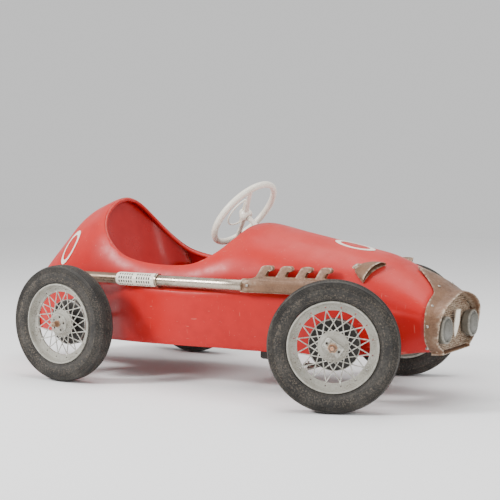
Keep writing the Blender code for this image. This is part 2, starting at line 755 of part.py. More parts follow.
def steering_parts():
    """Pieces in the column's frame, turned to the rest angle by their carrier."""
    length = column_length()
    column_steps = [(COLUMN_RADIUS, -0.004), (COLUMN_RADIUS, length - 0.012)]
    column = rod("steering_column", column_steps, "cream_plastic", 20)
    arm_edge = [(-0.010, -0.009), (0.010, -0.009), (0.071, -0.008)]
    arm_outline = arm_edge + [(x, -y) for x, y in reversed(arm_edge)]
    arm = plate("pitman_arm", arm_outline, -0.0090, -0.0044, "chassis_steel", axis="Z")
    slot = box("slot", (0.0510, -0.0040, -0.02), (0.0665, 0.0040, 0.02), "chassis_steel")
    cut(arm, slot)
    hub = rod("steering_wheel", [(0.013, length - 0.0116), (0.015, length - 0.004), (0.012, length + 0.007),
                                 (0.006, length + 0.009)], "cream_plastic", 20)
    rim_rings = []
    sides = 32
    for i in range(sides):
        a = 2 * math.pi * i / sides
        outward = Vector((math.cos(a), math.sin(a), 0))
        centre = outward * STEERING_WHEEL_RADIUS + Vector((0, 0, length + 0.004))
        rim_rings.append([centre + outward * p + Vector((0, 0, q)) for p, q in circle(0.0062, 6)])
    join(hub, loft("rim", rim_rings, "cream_plastic", closed=True))
    for angle in SPOKE_ANGLES:
        a = math.radians(angle)
        outward = Vector((math.cos(a), math.sin(a), 0))
        inner_end = outward * 0.006 + Vector((0, 0, length))
        outer_end = outward * STEERING_WHEEL_RADIUS + Vector((0, 0, length + 0.004))
        ends = [inner_end, outer_end]
        join(hub, swept("spoke", ends, rectangle(0.010, 0.006), "cream_plastic", side=Vector((0, 0, 1))))
    return column, arm, hub


def horn_ring():
    length = column_length()
    path = []
    for i in range(15):
        a = math.radians(HORN_RING_ANGLE - 90 + 180 * i / 14)
        path.append((0.043 * math.cos(a), 0.043 * math.sin(a), length + 0.0125))
    ring = swept("horn_ring", path, circle(0.0022, 8), "cream_plastic")
    boss = rod("boss", [(0.010, length + 0.0094), (0.008, length + 0.0155)], "cream_plastic", 16)
    for i in (0, -1):
        join(ring, swept("leg", [path[i], (0, 0, length + 0.0125)], circle(0.0020, 8), "cream_plastic"))
    return join(ring, boss)


def stub_axle(side):
    """Knuckle round the kingpin with the wheel's spindle and the slotted steering arm."""
    word = "left" if side > 0 else "right"
    knuckle = rod(f"stub_axle_{word}", [(0.0095, 0.0835), (0.0095, 0.1277)], "chassis_steel", 20)
    join(knuckle, rod("upper_ear", [(0.0100, 0.1523), (0.0100, 0.1620)], "chassis_steel", 20))
    web_low = (-0.0085, min(side * 0.0120, side * 0.0210), 0.1170)
    web_high = (0.0085, max(side * 0.0120, side * 0.0210), 0.1610)
    join(knuckle, box("web", web_low, web_high, "chassis_steel"))
    for low_z, high_z in ((0.1180, 0.1270), (0.1530, 0.1600)):
        low = (-0.0080, min(0, side * 0.0180), low_z)
        high = (0.0080, max(0, side * 0.0180), high_z)
        join(knuckle, box("ear", low, high, "chassis_steel"))
    spindle = rod("spindle", sorted_steps(side, ((0.006, 0.018), (0.006, 0.118))), "chassis_steel", 20, "Y")
    join(knuckle, moved(spindle, Matrix.Translation((0, 0, AXLE_Z))))
    arm = box("arm", (-0.0710, -0.0080, 0.0840), (0, 0.0080, 0.0890), "chassis_steel")
    join(knuckle, arm)
    cut(knuckle, box("slot", (-0.0665, -0.0040, 0.07), (-0.0510, 0.0040, 0.10), "chassis_steel"))
    radius = KINGPIN_RADIUS + RUNNING
    return cut(knuckle, rod("bore", [(radius, 0.07), (radius, 0.18)], "chassis_steel", 20))


def sorted_steps(side, steps):
    """(radius, y) steps on the given side, lowest y first, so that a rod's ends stay in order."""
    return sorted(((r, side * y) for r, y in steps), key=lambda step: step[1])


def tie_rod():
    x = FRONT_AXLE_X - STEERING_ARM
    ends = [(x, -KINGPIN_Y - 0.010, TIE_ROD_Z), (x, KINGPIN_Y + 0.010, TIE_ROD_Z)]
    link = swept("tie_rod", ends, circle(0.0040, 12), "bright_steel")
    for y in (-KINGPIN_Y, KINGPIN_Y):
        pin = rod("pin", [(0.0025, TIE_ROD_Z), (0.0025, 0.0940)], "bright_steel", 12)
        join(link, moved(pin, Matrix.Translation((x, y, 0))))
    centre_pin = rod("pin", [(0.0025, -0.016), (0.0025, 0.004)], "bright_steel", 12)
    basis = column_matrix().to_3x3().to_4x4()
    join(link, moved(centre_pin, Matrix.Translation((x, 0, TIE_ROD_Z)) @ basis))
    return moved(link, Matrix.Translation((0, TIE_ROD_REST_Y, 0)))


# Wheels, built round the origin with +Y outboard


def tyre_mesh():
    half = TYRE_WIDTH / 2
    sides = 32
    tread = WHEEL_RADIUS / math.cos(math.pi / sides)
    profile = [(0.0971, -0.0175), (0.1100, -half), (0.1310, -0.0235), (tread, -0.0100),
               (tread, 0.0100), (0.1310, 0.0235), (0.1100, half), (0.0971, 0.0175)]
    return turned("tyre", profile, "tyre_rubber", sides, "Y", phase=0.5)


def polar(radius, angle):
    return Vector((radius * math.cos(angle), radius * math.sin(angle)))


def inset(polygon, distance):
    """A convex anticlockwise polygon with every side moved in."""
    count = len(polygon)
    moved_sides = []
    for i in range(count):
        a = polygon[i]
        b = polygon[(i + 1) % count]
        along = (b - a).normalized()
        inward = Vector((-along.y, along.x))
        moved_sides.append((a + inward * distance, along))
    corners = []
    for i in range(count):
        p, d = moved_sides[i - 1]
        q, e = moved_sides[i]
        t = ((q.x - p.x) * e.y - (q.y - p.y) * e.x) / (d.x * e.y - d.y * e.x)
        corners.append(p + d * t)
    return corners


def spoke_windows():
    """Openings between the crossing spokes: a triangle at the ring and a kite at each root."""
    pitch = 2 * math.pi / SPOKE_PAIRS
    crossing = (SPOKE_INNER * SPOKE_OUTER * math.sin(pitch)
                / (math.sin(pitch / 2) * (SPOKE_INNER + SPOKE_OUTER)))
    windows = []
    for i in range(SPOKE_PAIRS):
        a = i * pitch
        triangle = [polar(SPOKE_OUTER, a), polar(SPOKE_OUTER, a + pitch), polar(crossing, a + pitch / 2)]
        right, left = polar(crossing, a - pitch / 2), polar(crossing, a + pitch / 2)
        kite = [polar(SPOKE_INNER, a), right, polar(SPOKE_OUTER, a), left]
        windows.append(inset(triangle, SPOKE_HALF_WIDTH))
        windows.append(inset(kite, SPOKE_HALF_WIDTH))
    return windows


def spoke_plate():
    """Flat plate with the spoke windows through it, in the plane of the wheel."""
    curve = bpy.data.curves.new("spokes", "CURVE")
    curve.dimensions = "2D"
    curve.fill_mode = "BOTH"
    curve.extrude = 0.0025
    outer = [polar(0.0800, 2 * math.pi * i / 32) for i in range(32)]
    centre = [polar(0.0200, 2 * math.pi * i / 24) for i in range(24)]
    for loop in [outer, centre] + spoke_windows():
        spline = curve.splines.new("POLY")
        spline.points.add(len(loop) - 1)
        for point, corner in zip(spline.points, loop):
            point.co = (corner.x, corner.y, 0, 1)
        spline.use_cyclic_u = True
    drawn = bpy.data.objects.new("spokes", curve)
    bpy.context.scene.collection.objects.link(drawn)
    bpy.context.view_layer.update()
    mesh = bpy.data.meshes.new_from_object(drawn.evaluated_get(bpy.context.evaluated_depsgraph_get()))
    bpy.data.objects.remove(drawn, do_unlink=True)
    bpy.data.curves.remove(curve)
    sheet = bmesh.new()
    sheet.from_mesh(mesh)
    bmesh.ops.remove_doubles(sheet, verts=sheet.verts, dist=1e-6)
    bmesh.ops.recalc_face_normals(sheet, faces=sheet.faces)
    sheet.to_mesh(mesh)
    sheet.free()
    mesh.transform(Matrix.Translation((0, 0.0035, 0)) @ Matrix.Rotation(math.pi / 2, 4, "X"))
    mesh.materials.clear()
    mesh.materials.append(material("wheel_grey"))
    made = bpy.data.objects.new("spokes", mesh)
    bpy.context.scene.collection.objects.link(made)
    return made


def wheel_mesh():
    """Imitation wire wheel: dished rim, crossing spokes and a hub boss with a bore."""
    rim_profile = [(0.0915, -0.0160), (RIM_RADIUS, -0.0160), (RIM_RADIUS, 0.0210), (0.0925, 0.0215),
                   (0.0885, 0.0085), (0.0765, 0.0068), (0.0765, 0.0002), (0.0915, 0.0002)]
    wheel = turned("wheel", rim_profile, "wheel_grey", 32, "Y")
    join(wheel, spoke_plate())
    boss_profile = [(0.0060 + RUNNING, -0.0120), (0.0180, -0.0120), (0.0330, -0.0010), (0.0330, 0.0085),
                    (0.0290, 0.0125), (0.0060 + RUNNING, 0.0125)]
    join(wheel, turned("boss", boss_profile, "wheel_grey", 20, "Y"))
    return wheel


def drum_mesh():
    profile = [(0.0090, -0.0480), (0.0500, -0.0480), (0.0546, -0.0440), (0.0546, -0.0200), (0.0500, -0.0150),
               (0.0090, -0.0150)]
    return turned("drum", profile, "drum_black", 24, "Y")


def hub_nut():
    profile = [(0.0115, 0.0130), (0.0115, 0.0200), (0.0065, 0.0215), (0.0065, 0.0390), (0.0030, 0.0400)]
    nut = rod("nut", profile, "bright_steel", 12, "Y")
    bore = rod("bore", [(0.0060 + GAP, 0.0), (0.0060 + GAP, 0.0375)], "bright_steel", 12, "Y")
    return cut(nut, bore)


def wheel_set(end, side, meshes, carrier):
    """Tyre, wheel, drum and nut of one corner, carried by the body that turns them."""
    word = "left" if side > 0 else "right"
    flip = Matrix.Identity(4) if side > 0 else Matrix.Rotation(math.pi, 4, "Z")
    pieces = []
    for kind, mesh in meshes.items():
        piece = bpy.data.objects.new(f"{end}_{kind}_{word}", mesh)
        bpy.context.scene.collection.objects.link(piece)
        piece.matrix_local = flip
        pieces.append(piece)
    carry(carrier, *pieces)


def shared_wheel_meshes():
    meshes = {}
    makers = {"tyre": tyre_mesh, "wheel": wheel_mesh, "drum": drum_mesh, "hub_nut": hub_nut}
    for kind, make in makers.items():
        pattern = make()
        meshes[kind] = pattern.data
        bpy.data.objects.remove(pattern, do_unlink=True)
    return meshes


# Drive


def toothed(name, teeth, y_low, y_high, bore):
    outline = []
    radius = teeth * CHAIN_PITCH / (2 * math.pi)
    for i in range(teeth):
        a = 2 * math.pi * i / teeth
        for depth, share in ((-0.0035, -0.36), (0.0005, 0.10), (-0.0035, 0.96)):
            outline.append(polar(radius + depth, a + share * math.pi / teeth))
    gear = plate(name, [(p.x, p.y) for p in outline], y_low, y_high, "chassis_steel", axis="Y")
    hole = rod("bore", [(bore, y_low - 0.01), (bore, y_high + 0.01)], "chassis_steel", 20, "Y")
    return cut(gear, hole)


def crankset():
    """Spindle, two opposed arms and two pedal spindles in one forged crank."""
    crank = rod("crankset", [(0.006, -0.054), (0.006, 0.054)], "bright_steel", 20, "Y")
    for side in (-1, 1):
        reach = side * CRANK_ARM
        outline = [(-0.010, 0.0), (0.0, 0.011), (0.010, 0.0), (0.007, -CRANK_ARM), (0.0, -CRANK_ARM - 0.008),
                   (-0.007, -CRANK_ARM)]
        arm = plate("arm", outline, side * CRANK_ARM_Y - 0.0035, side * CRANK_ARM_Y + 0.0035, "bright_steel")
        if side > 0:
            moved(arm, Matrix.Rotation(math.pi, 4, "Y"))
        join(crank, arm)
        steps = sorted_steps(side, ((PEDAL_PIN_RADIUS, 0.050), (PEDAL_PIN_RADIUS, PEDAL_PIN_END)))
        spindle = rod("spindle", steps, "bright_steel", 12, "Y")
        join(crank, moved(spindle, Matrix.Translation((0, 0, reach))))
    return crank


def pedal(side):
    word = "left" if side > 0 else "right"
    low = [-side_length / 2 for side_length in PEDAL_SIZE]
    high = [side_length / 2 for side_length in PEDAL_SIZE]
    block = box(f"pedal_{word}", low, high, "pedal_rubber")
    bore_radius = PEDAL_PIN_RADIUS + 2 * RUNNING
    bore = rod("bore", [(bore_radius, -0.05), (bore_radius, 0.05)], "pedal_rubber", 12, "Y")
    return cut(block, bore)


def chain():
    """Chain taken as a flat band of its own width and thickness round both gears."""
    span = CRANK_X - REAR_AXLE_X
    rise = CRANK_Z - AXLE_Z
    distance = math.hypot(span, rise)
    tilt = math.atan2(rise, span)
    lean = math.asin((CHAINRING_RADIUS - SPROCKET_RADIUS) / distance)
    inner, outer = [], []
    wraps = (
        ((REAR_AXLE_X, AXLE_Z), SPROCKET_RADIUS, tilt + math.pi / 2 + lean, tilt + 1.5 * math.pi - lean),
        ((CRANK_X, CRANK_Z), CHAINRING_RADIUS, tilt - math.pi / 2 - lean, tilt + math.pi / 2 + lean),
    )
    for centre, radius, start, end in wraps:
        for i in range(13):
            a = start + (end - start) * i / 12
            for ring, offset in ((inner, 0.0012), (outer, 0.0052)):
                reach = radius + offset
                ring.append((centre[0] + reach * math.cos(a), centre[1] + reach * math.sin(a)))
    rings = []
    for (xi, zi), (xo, zo) in zip(inner, outer):
        low, high = CHAIN_Y - 0.004, CHAIN_Y + 0.004
        rings.append([(xi, low, zi), (xi, high, zi), (xo, high, zo), (xo, low, zo)])
    return loft("drive_chain", rings, "chassis_steel", closed=True)


def build():
    clear_scene()
    body_shell()
    nose_cowl()
    grille()
    badge_plate()
    exhaust_pipe()
    exhaust_sleeve()
    exhaust_manifold()
    tail_cap()
    seat()
    cross_member("cross_member_rear", 0.075)
    crank_boom()
    front_axle_beam()
    column_foot()
    column_bush()
    chain()
    for side in (-1, 1):
        headlamp(side)
        air_scoop(side)
        chassis_rail(side)
        rear_axle_bearing(side)
        kingpin(side)

    steering = frame_at("steering_frame", (0, 0, 0), column_matrix() @ Matrix.Rotation(STEER_REST, 4, "Z"))
    carry(steering, *steering_parts(), horn_ring())
    tie_rod()

    meshes = shared_wheel_meshes()
    for side in (-1, 1):
        place = (FRONT_AXLE_X, side * KINGPIN_Y, 0)
        knuckle = frame_at(f"knuckle_{side}", place, Matrix.Rotation(STEER_REST, 4, "Z"))
        carry(knuckle, stub_axle(side))
        spin = frame_at(f"front_wheel_{side}", (0, side * KINGPIN_OFFSET, AXLE_Z))
        spin.parent = knuckle
        wheel_set("front", side, meshes, spin)
        spin = frame_at(f"rear_wheel_{side}", (REAR_AXLE_X, side * REAR_TRACK / 2, AXLE_Z))
        wheel_set("rear", side, meshes, spin)

    axle = frame_at("rear_axle_frame", (REAR_AXLE_X, 0, AXLE_Z))
    half = REAR_TRACK / 2 + 0.037
    rear_axle = rod("rear_axle", [(0.006, -half), (0.006, half)], "bright_steel", 20, "Y")
    sprocket = toothed("rear_sprocket", SPROCKET_TEETH, CHAIN_Y - 0.0015, CHAIN_Y + 0.0015, 0.006 + GAP)
    carry(axle, rear_axle, sprocket)

    turn = frame_at("crank_frame", (CRANK_X, 0, CRANK_Z), Matrix.Rotation(PEDAL_ANGLE, 4, "Y"))
    ring = toothed("chainring", CHAINRING_TEETH, CHAIN_Y - 0.0015, CHAIN_Y + 0.0015, 0.006 + GAP)
    carry(turn, crankset(), ring)
    for side in (-1, 1):
        centre = Matrix.Rotation(PEDAL_ANGLE, 4, "Y") @ Vector((0, 0, side * CRANK_ARM))
        hinge = frame_at(f"pedal_{side}", Vector((CRANK_X, side * PEDAL_Y, CRANK_Z)) + centre)
        carry(hinge, pedal(side))


build()
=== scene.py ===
"""Looks of the racing pedal car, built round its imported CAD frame.

Metres. +X is forward, +Y is the car's left, +Z is up. Places come from the frame's nodes and joints.
"""

import json
import math

import bmesh
import bpy
from mathutils import Matrix, Vector


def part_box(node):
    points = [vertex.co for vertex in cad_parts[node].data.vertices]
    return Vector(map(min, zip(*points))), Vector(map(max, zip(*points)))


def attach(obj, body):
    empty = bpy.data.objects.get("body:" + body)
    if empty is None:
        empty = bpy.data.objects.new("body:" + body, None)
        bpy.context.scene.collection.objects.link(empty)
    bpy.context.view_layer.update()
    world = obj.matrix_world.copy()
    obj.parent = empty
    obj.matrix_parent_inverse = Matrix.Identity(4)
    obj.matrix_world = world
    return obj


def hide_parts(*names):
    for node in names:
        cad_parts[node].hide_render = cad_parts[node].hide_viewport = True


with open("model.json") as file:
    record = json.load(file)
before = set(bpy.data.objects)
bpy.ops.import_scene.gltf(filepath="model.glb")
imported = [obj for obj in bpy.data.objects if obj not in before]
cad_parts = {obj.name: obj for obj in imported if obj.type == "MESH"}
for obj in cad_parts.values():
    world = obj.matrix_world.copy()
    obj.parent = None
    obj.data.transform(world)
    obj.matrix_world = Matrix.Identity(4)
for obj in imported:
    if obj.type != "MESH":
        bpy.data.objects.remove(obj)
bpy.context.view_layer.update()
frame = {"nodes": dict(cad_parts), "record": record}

JOINTS = {joint["name"]: joint for joint in frame["record"]["behaviour"]["joints"]}
REAR_AXLE_X = JOINTS["rear_axle_spin"]["pos_m"][0]
AXLE_Z = JOINTS["rear_axle_spin"]["pos_m"][2]
REAR_WHEEL_Y = -JOINTS["rear_right_spin"]["pos_m"][1]
COLUMN_FOOT = Vector(JOINTS["steering"]["pos_m"])
COLUMN_UP = Vector(JOINTS["steering"]["axis"])
CRANK = Vector(JOINTS["crank_spin"]["pos_m"])
SKIN = 0.003
# The least radius of a turned form, which closes on its axis
AXIS = 0.0002
# The cockpit's opening: its ends from the rear axle, half-width and rear corner exponent
COCKPIT_BACK, COCKPIT_FRONT, COCKPIT_HALF, COCKPIT_POWER = -0.020, 0.392, 0.1455, 4.2
# How far the nose cowl's outside stands off the body
COWL_OUTER = 0.0066

# Body stations, measured from the rear axle along x:
# x, lower half-width, upper half-width, bottom z, crease z, top z, arch exponent
BODY = (
    (-0.316, 0.018, 0.018, 0.118, 0.135, 0.158, 2.0),
    (-0.308, 0.040, 0.040, 0.102, 0.150, 0.184, 2.0),
    (-0.288, 0.060, 0.062, 0.092, 0.170, 0.216, 2.0),
    (-0.254, 0.080, 0.085, 0.085, 0.190, 0.256, 1.9),
    (-0.171, 0.103, 0.121, 0.082, 0.215, 0.347, 1.7),
    (-0.118, 0.113, 0.139, 0.082, 0.223, 0.397, 1.75),
    (-0.060, 0.124, 0.151, 0.083, 0.227, 0.425, 1.8),
    (-0.012, 0.133, 0.158, 0.084, 0.228, 0.438, 1.9),
    (0.030, 0.142, 0.161, 0.086, 0.228, 0.425, 1.9),
    (0.090, 0.160, 0.163, 0.089, 0.228, 0.375, 1.95),
    (0.170, 0.176, 0.164, 0.092, 0.229, 0.338, 2.0),
    (0.280, 0.180, 0.162, 0.095, 0.229, 0.340, 2.0),
    (0.340, 0.176, 0.159, 0.096, 0.229, 0.362, 2.0),
    (0.392, 0.168, 0.155, 0.096, 0.229, 0.379, 2.0),
    (0.425, 0.162, 0.151, 0.095, 0.228, 0.381, 2.0),
    (0.510, 0.148, 0.142, 0.095, 0.226, 0.364, 2.0),
    (0.593, 0.138, 0.133, 0.096, 0.222, 0.348, 2.0),
    (0.691, 0.130, 0.126, 0.099, 0.216, 0.329, 2.0),
    (0.743, 0.127, 0.123, 0.103, 0.212, 0.316, 2.1),
    (0.805, 0.122, 0.118, 0.110, 0.204, 0.288, 2.1),
    (0.860, 0.116, 0.113, 0.117, 0.196, 0.259, 1.9),
    (0.900, 0.110, 0.107, 0.119, 0.188, 0.236, 1.5),
)


# Materials


def node(tree, kind, inputs, **settings):
    """A shader node. Each input is a constant or another node's output."""
    made = tree.nodes.new("ShaderNode" + kind)
    for name, value in settings.items():
        setattr(made, name, value)
    for key, value in inputs.items():
        if isinstance(value, bpy.types.NodeSocket):
            tree.links.new(value, made.inputs[key])
        else:
            made.inputs[key].default_value = value
    return made


def blend_colours(tree, share, low, high):
    """A mix of two colours, each a colour or another node's output."""
    first, second, result = 6, 7, 2  # the mix node's colour sockets
    inputs = {0: share}
    for key, value in ((first, low), (second, high)):
        inputs[key] = (*value, 1.0) if isinstance(value, tuple) else value
    return node(tree, "Mix", inputs, data_type="RGBA").outputs[result]


def noise(tree, scale, detail, stretch=(1, 1, 1), distortion=0.0):
    place = node(tree, "TexCoord", {}).outputs["Object"]
    mapping = node(tree, "Mapping", {"Vector": place, "Scale": stretch})
    texture = node(tree, "TexNoise", {"Vector": mapping.outputs["Vector"], "Scale": scale,
                                      "Detail": detail, "Distortion": distortion})
    return texture.outputs["Fac"]


def remap(tree, value, low, high, out_low=0.0, out_high=1.0):
    inputs = {"Value": value, "From Min": low, "From Max": high, "To Min": out_low, "To Max": out_high}
    return node(tree, "MapRange", inputs, interpolation_type="SMOOTHSTEP").outputs["Result"]


def product(tree, first, second):
    return node(tree, "Math", {0: first, 1: second}, operation="MULTIPLY").outputs[0]


def geometry(tree, output):
    return node(tree, "NewGeometry", {}).outputs[output]


def facing_up(tree):
    return node(tree, "SeparateXYZ", {"Vector": geometry(tree, "Normal")}).outputs["Z"]


def ring_noise(tree, scale, around):
    """Noise drawn out into rings about the local Y axis. A larger around breaks the rings up."""
    place = node(tree, "TexCoord", {}).outputs["Object"]
    split = node(tree, "SeparateXYZ", {"Vector": place}).outputs
    flat = node(tree, "CombineXYZ", {"X": split["X"], "Y": split["Z"]}).outputs["Vector"]
    length = node(tree, "VectorMath", {0: flat}, operation="LENGTH").outputs["Value"]
    rings = node(tree, "CombineXYZ", {"X": length, "Y": split["Y"]}).outputs["Vector"]
    drift = node(tree, "VectorMath", {0: flat, 1: (around,) * 3, 2: rings}, operation="MULTIPLY_ADD")
    texture = node(tree, "TexNoise", {"Vector": drift.outputs["Vector"], "Scale": scale, "Detail": 4.0})
    return texture.outputs["Fac"]


def worn(name, base, dark, rough, metallic=0.0, patch=18.0, worn_colour=None, edge=(0.52, 0.60),
         faded_and_lit_top=None, dusty=None, dust_share=0.6, grain=900.0, bump=0.00006, coat=0.0, stretch=(1, 1, 1),
         scratched=None, ringed=False, shine=0.4):
    """A procedural finish: mottled colour, paler upper faces (part sun fading, part painted light from
    above), speckled dust, scratches, worn edges, grain and uneven gloss. patch and grain are noise scales,
    bump is a height in metres."""
    made = bpy.data.materials.new(name)
    made.use_nodes = True
    tree = made.node_tree
    shader = tree.nodes["Principled BSDF"]
    constants = {"Metallic": metallic, "Specular IOR Level": shine}
    if coat:
        constants.update({"Coat Weight": coat, "Coat Roughness": 0.25})
    for socket, value in constants.items():
        shader.inputs[socket].default_value = value
    broad = remap(tree, noise(tree, patch, 5.0, stretch), 0.28, 0.78)
    fine = remap(tree, noise(tree, patch * 8.0, 5.0, stretch), 0.30, 0.72, 0.3, 1.0)
    colour = blend_colours(tree, product(tree, broad, fine), base, dark)
    # Upper faces turn paler: part real sun fading, part painted light from above.
    if faded_and_lit_top:
        up = remap(tree, facing_up(tree), 0.15, 1.0)
        cloud = remap(tree, noise(tree, 11.0, 6.0), 0.30, 0.75, 0.25, 0.85)
        colour = blend_colours(tree, product(tree, up, cloud), colour, faded_and_lit_top)
    if dusty:
        speckle = remap(tree, noise(tree, patch * 14.0, 8.0), 0.46, 0.66)
        source = ring_noise(tree, 160.0, 0.05) if ringed else noise(tree, patch * 1.4, 4.0, stretch)
        cloud = remap(tree, source, 0.36, 0.70, 0.08, dust_share)
        colour = blend_colours(tree, product(tree, speckle, cloud), colour, dusty)
    if scratched:
        for run in ((1, 14, 9), (13, 1, 8), (9, 6, 1)):
            line = remap(tree, noise(tree, 26.0, 3.0, run, 0.3), 0.70, 0.73, 0.0, 0.45)
            colour = blend_colours(tree, line, colour, scratched)
    if worn_colour:
        rim = remap(tree, geometry(tree, "Pointiness"), *edge)
        broken = remap(tree, noise(tree, 150.0, 6.0), 0.38, 0.60, 0.1, 1.0)
        colour = blend_colours(tree, product(tree, rim, broken), colour, worn_colour)
    tree.links.new(colour, shader.inputs["Base Color"])
    gloss = remap(tree, noise(tree, patch * 4.0, 6.0), 0.30, 0.70, rough - 0.08, rough + 0.12)
    tree.links.new(gloss, shader.inputs["Roughness"])
    height = ring_noise(tree, 700.0, 0.02) if ringed else noise(tree, grain, 3.0)
    relief = node(tree, "Bump", {"Distance": bump, "Strength": 0.7, "Height": height})
    tree.links.new(relief.outputs["Normal"], shader.inputs["Normal"])
    return made


FINISH = {
    # Body red; its paler upper faces are part fading and part painted light.
    "red": worn("faded_red", (0.50, 0.012, 0.011), (0.40, 0.009, 0.009), 0.36, patch=6.0,
                worn_colour=(0.50, 0.12, 0.09), faded_and_lit_top=(0.55, 0.052, 0.041), scratched=(0.54, 0.16, 0.12),
                coat=0.04, grain=420.0, shine=0.22),
    # The same red made darker for inner faces: painted shade inside the cockpit.
    "interior": worn("interior_red", (0.44, 0.011, 0.011), (0.34, 0.008, 0.009), 0.33, patch=5.0,
                     worn_colour=(0.48, 0.10, 0.08), scratched=(0.46, 0.05, 0.04), grain=420.0,
                     coat=0.10, shine=0.3),
    "bronze": worn("worn_bronze", (0.200, 0.104, 0.056), (0.095, 0.046, 0.025), 0.42, metallic=0.15,
                   patch=34.0, worn_colour=(0.50, 0.40, 0.30), dusty=(0.27, 0.165, 0.105),
                   edge=(0.505, 0.55)),
    "pipe": worn("tarnished_pipe", (0.48, 0.42, 0.345), (0.27, 0.20, 0.145), 0.27, metallic=0.85, patch=16.0,
                 dusty=(0.21, 0.145, 0.095), dust_share=0.45, stretch=(0.25, 1, 1)),
    # Darker, browner finish for the pipe's rear part.
    "stained": worn("stained_pipe", (0.27, 0.195, 0.14), (0.15, 0.095, 0.060), 0.34, metallic=0.7, patch=16.0,
                    dusty=(0.17, 0.11, 0.07), dust_share=0.6, stretch=(0.25, 1, 1)),
    "cream": worn("aged_cream", (0.88, 0.84, 0.74), (0.76, 0.69, 0.56), 0.34, patch=20.0, coat=0.2,
                  dusty=(0.56, 0.46, 0.34), dust_share=0.3),
    "wheel": worn("aged_wheel_grey", (0.36, 0.35, 0.305), (0.24, 0.225, 0.185), 0.46, patch=30.0,
                  dusty=(0.115, 0.085, 0.058), dust_share=0.8, worn_colour=(0.56, 0.55, 0.50)),
    "tyre": worn("dusty_rubber", (0.018, 0.017, 0.016), (0.070, 0.064, 0.056), 0.66, patch=24.0,
                 dusty=(0.15, 0.122, 0.092), dust_share=0.75, bump=0.0007, ringed=True, shine=0.3),
    "drum": worn("drum_black", (0.022, 0.021, 0.020), (0.055, 0.048, 0.040), 0.45, metallic=0.2, patch=40.0,
                 worn_colour=(0.30, 0.29, 0.27)),
    "steel": worn("chassis_black", (0.045, 0.040, 0.036), (0.11, 0.070, 0.045), 0.50, metallic=0.5,
                  patch=26.0, worn_colour=(0.30, 0.25, 0.20)),
    "rust": worn("rusty_steel", (0.28, 0.15, 0.085), (0.12, 0.060, 0.035), 0.60, metallic=0.5, patch=90.0,
                 worn_colour=(0.50, 0.38, 0.28), bump=0.0002),
    "copper": worn("bright_copper", (0.62, 0.33, 0.20), (0.38, 0.19, 0.11), 0.30, metallic=0.95, patch=110.0),
    "bright": worn("dull_bright_steel", (0.48, 0.45, 0.41), (0.26, 0.21, 0.17), 0.34, metallic=0.9,
                   patch=60.0),
    "lens": worn("clouded_lens", (0.155, 0.150, 0.130), (0.095, 0.088, 0.072), 0.16, patch=60.0, coat=0.4),
    "lamp": worn("dull_lamp_grey", (0.195, 0.185, 0.155), (0.115, 0.105, 0.085), 0.40, patch=40.0,
                 dusty=(0.10, 0.075, 0.05), worn_colour=(0.36, 0.34, 0.29)),
    "rubber": worn("pedal_rubber", (0.040, 0.038, 0.036), (0.085, 0.074, 0.062), 0.78, patch=60.0,
                   bump=0.0002),
    "white": worn("white_paint", (0.84, 0.80, 0.72), (0.70, 0.60, 0.50), 0.45, patch=80.0),
    # Dark fill for slots, holes and hollows: painted shade.
    "dark": worn("dark_recess", (0.020, 0.017, 0.015), (0.040, 0.030, 0.024), 0.70, patch=40.0),
}


# Mesh helpers


def link(made):
    bpy.context.scene.collection.objects.link(made)
    return made


def smoothed(mesh, angle=38.0):
    mesh.shade_smooth()
    mesh.set_sharp_from_angle(angle=math.radians(angle))


def circle(count):
    """The angles of a full turn in equal steps."""
    return [2 * math.pi * i / count for i in range(count)]


def piece(name, mesh, finish, smooth_angle=38.0):
    mesh.materials.clear()
    mesh.materials.append(FINISH[finish])
    smoothed(mesh, smooth_angle)
    return link(bpy.data.objects.new(name, mesh))


def mesh_of(points, faces):
    mesh = bpy.data.meshes.new("form")
    mesh.from_pydata([tuple(p) for p in points], [], faces)
    shell = bmesh.new()
    shell.from_mesh(mesh)
    bmesh.ops.remove_doubles(shell, verts=shell.verts, dist=1e-7)
    bmesh.ops.recalc_face_normals(shell, faces=shell.faces)
    shell.to_mesh(mesh)
    shell.free()
    return mesh


def loft_data(rings, closed=False):
    count = len(rings[0])
    points = [p for ring in rings for p in ring]
    faces = []
    for i in range(len(rings) if closed else len(rings) - 1):
        first, second = i * count, (i + 1) % len(rings) * count
        for j in range(count):
            k = (j + 1) % count
            faces.append((first + j, first + k, second + k, second + j))
    if not closed:
        faces.append(tuple(range(count)))
        faces.append(tuple((len(rings) - 1) * count + j for j in range(count)))
    return points, faces


def loft(rings, closed=False):
    return mesh_of(*loft_data(rings, closed))


def join_data(parts):
    """One (points, faces) pair from several."""
    points, faces = [], []
    for more_points, more_faces in parts:
        start = len(points)
        points += list(more_points)
        faces += [tuple(start + i for i in face) for face in more_faces]
    return points, faces


def gathered(parts):
    return mesh_of(*join_data(parts))


def lathe_data(profile, sides):
    """A closed profile of (radius, y) points turned about local Y."""
    rings = [[Vector((r * math.cos(a), y, r * math.sin(a))) for r, y in profile] for a in circle(sides)]
    return loft_data(rings, closed=True)


def rod_data(radius, low, high, sides):
    """A solid rod along local Y."""
    return lathe_data([(AXIS, low), (radius, low), (radius, high), (AXIS, high)], sides)


def tube_data(path, radius, sides=12, side=Vector((0, 0, 1)), flat=1.0):
    path = [Vector(p) for p in path]
    rings = []
    for i, centre in enumerate(path):
        forward = (path[min(i + 1, len(path) - 1)] - path[max(i - 1, 0)]).normalized()
        sideways = side.cross(forward).normalized()
        upwards = forward.cross(sideways)
        r = radius[i] if isinstance(radius, list) else radius
        rings.append([centre + sideways * (r * math.cos(a)) + upwards * (r * flat * math.sin(a))
                      for a in circle(sides)])
    return loft_data(rings)


def moved_data(data, matrix):
    points, faces = data
    return [matrix @ Vector(p) for p in points], faces


def turned(profile, sides, place):
    """A turned mesh, moved to its place."""
    return mesh_of(*moved_data(lathe_data(profile, sides), place))


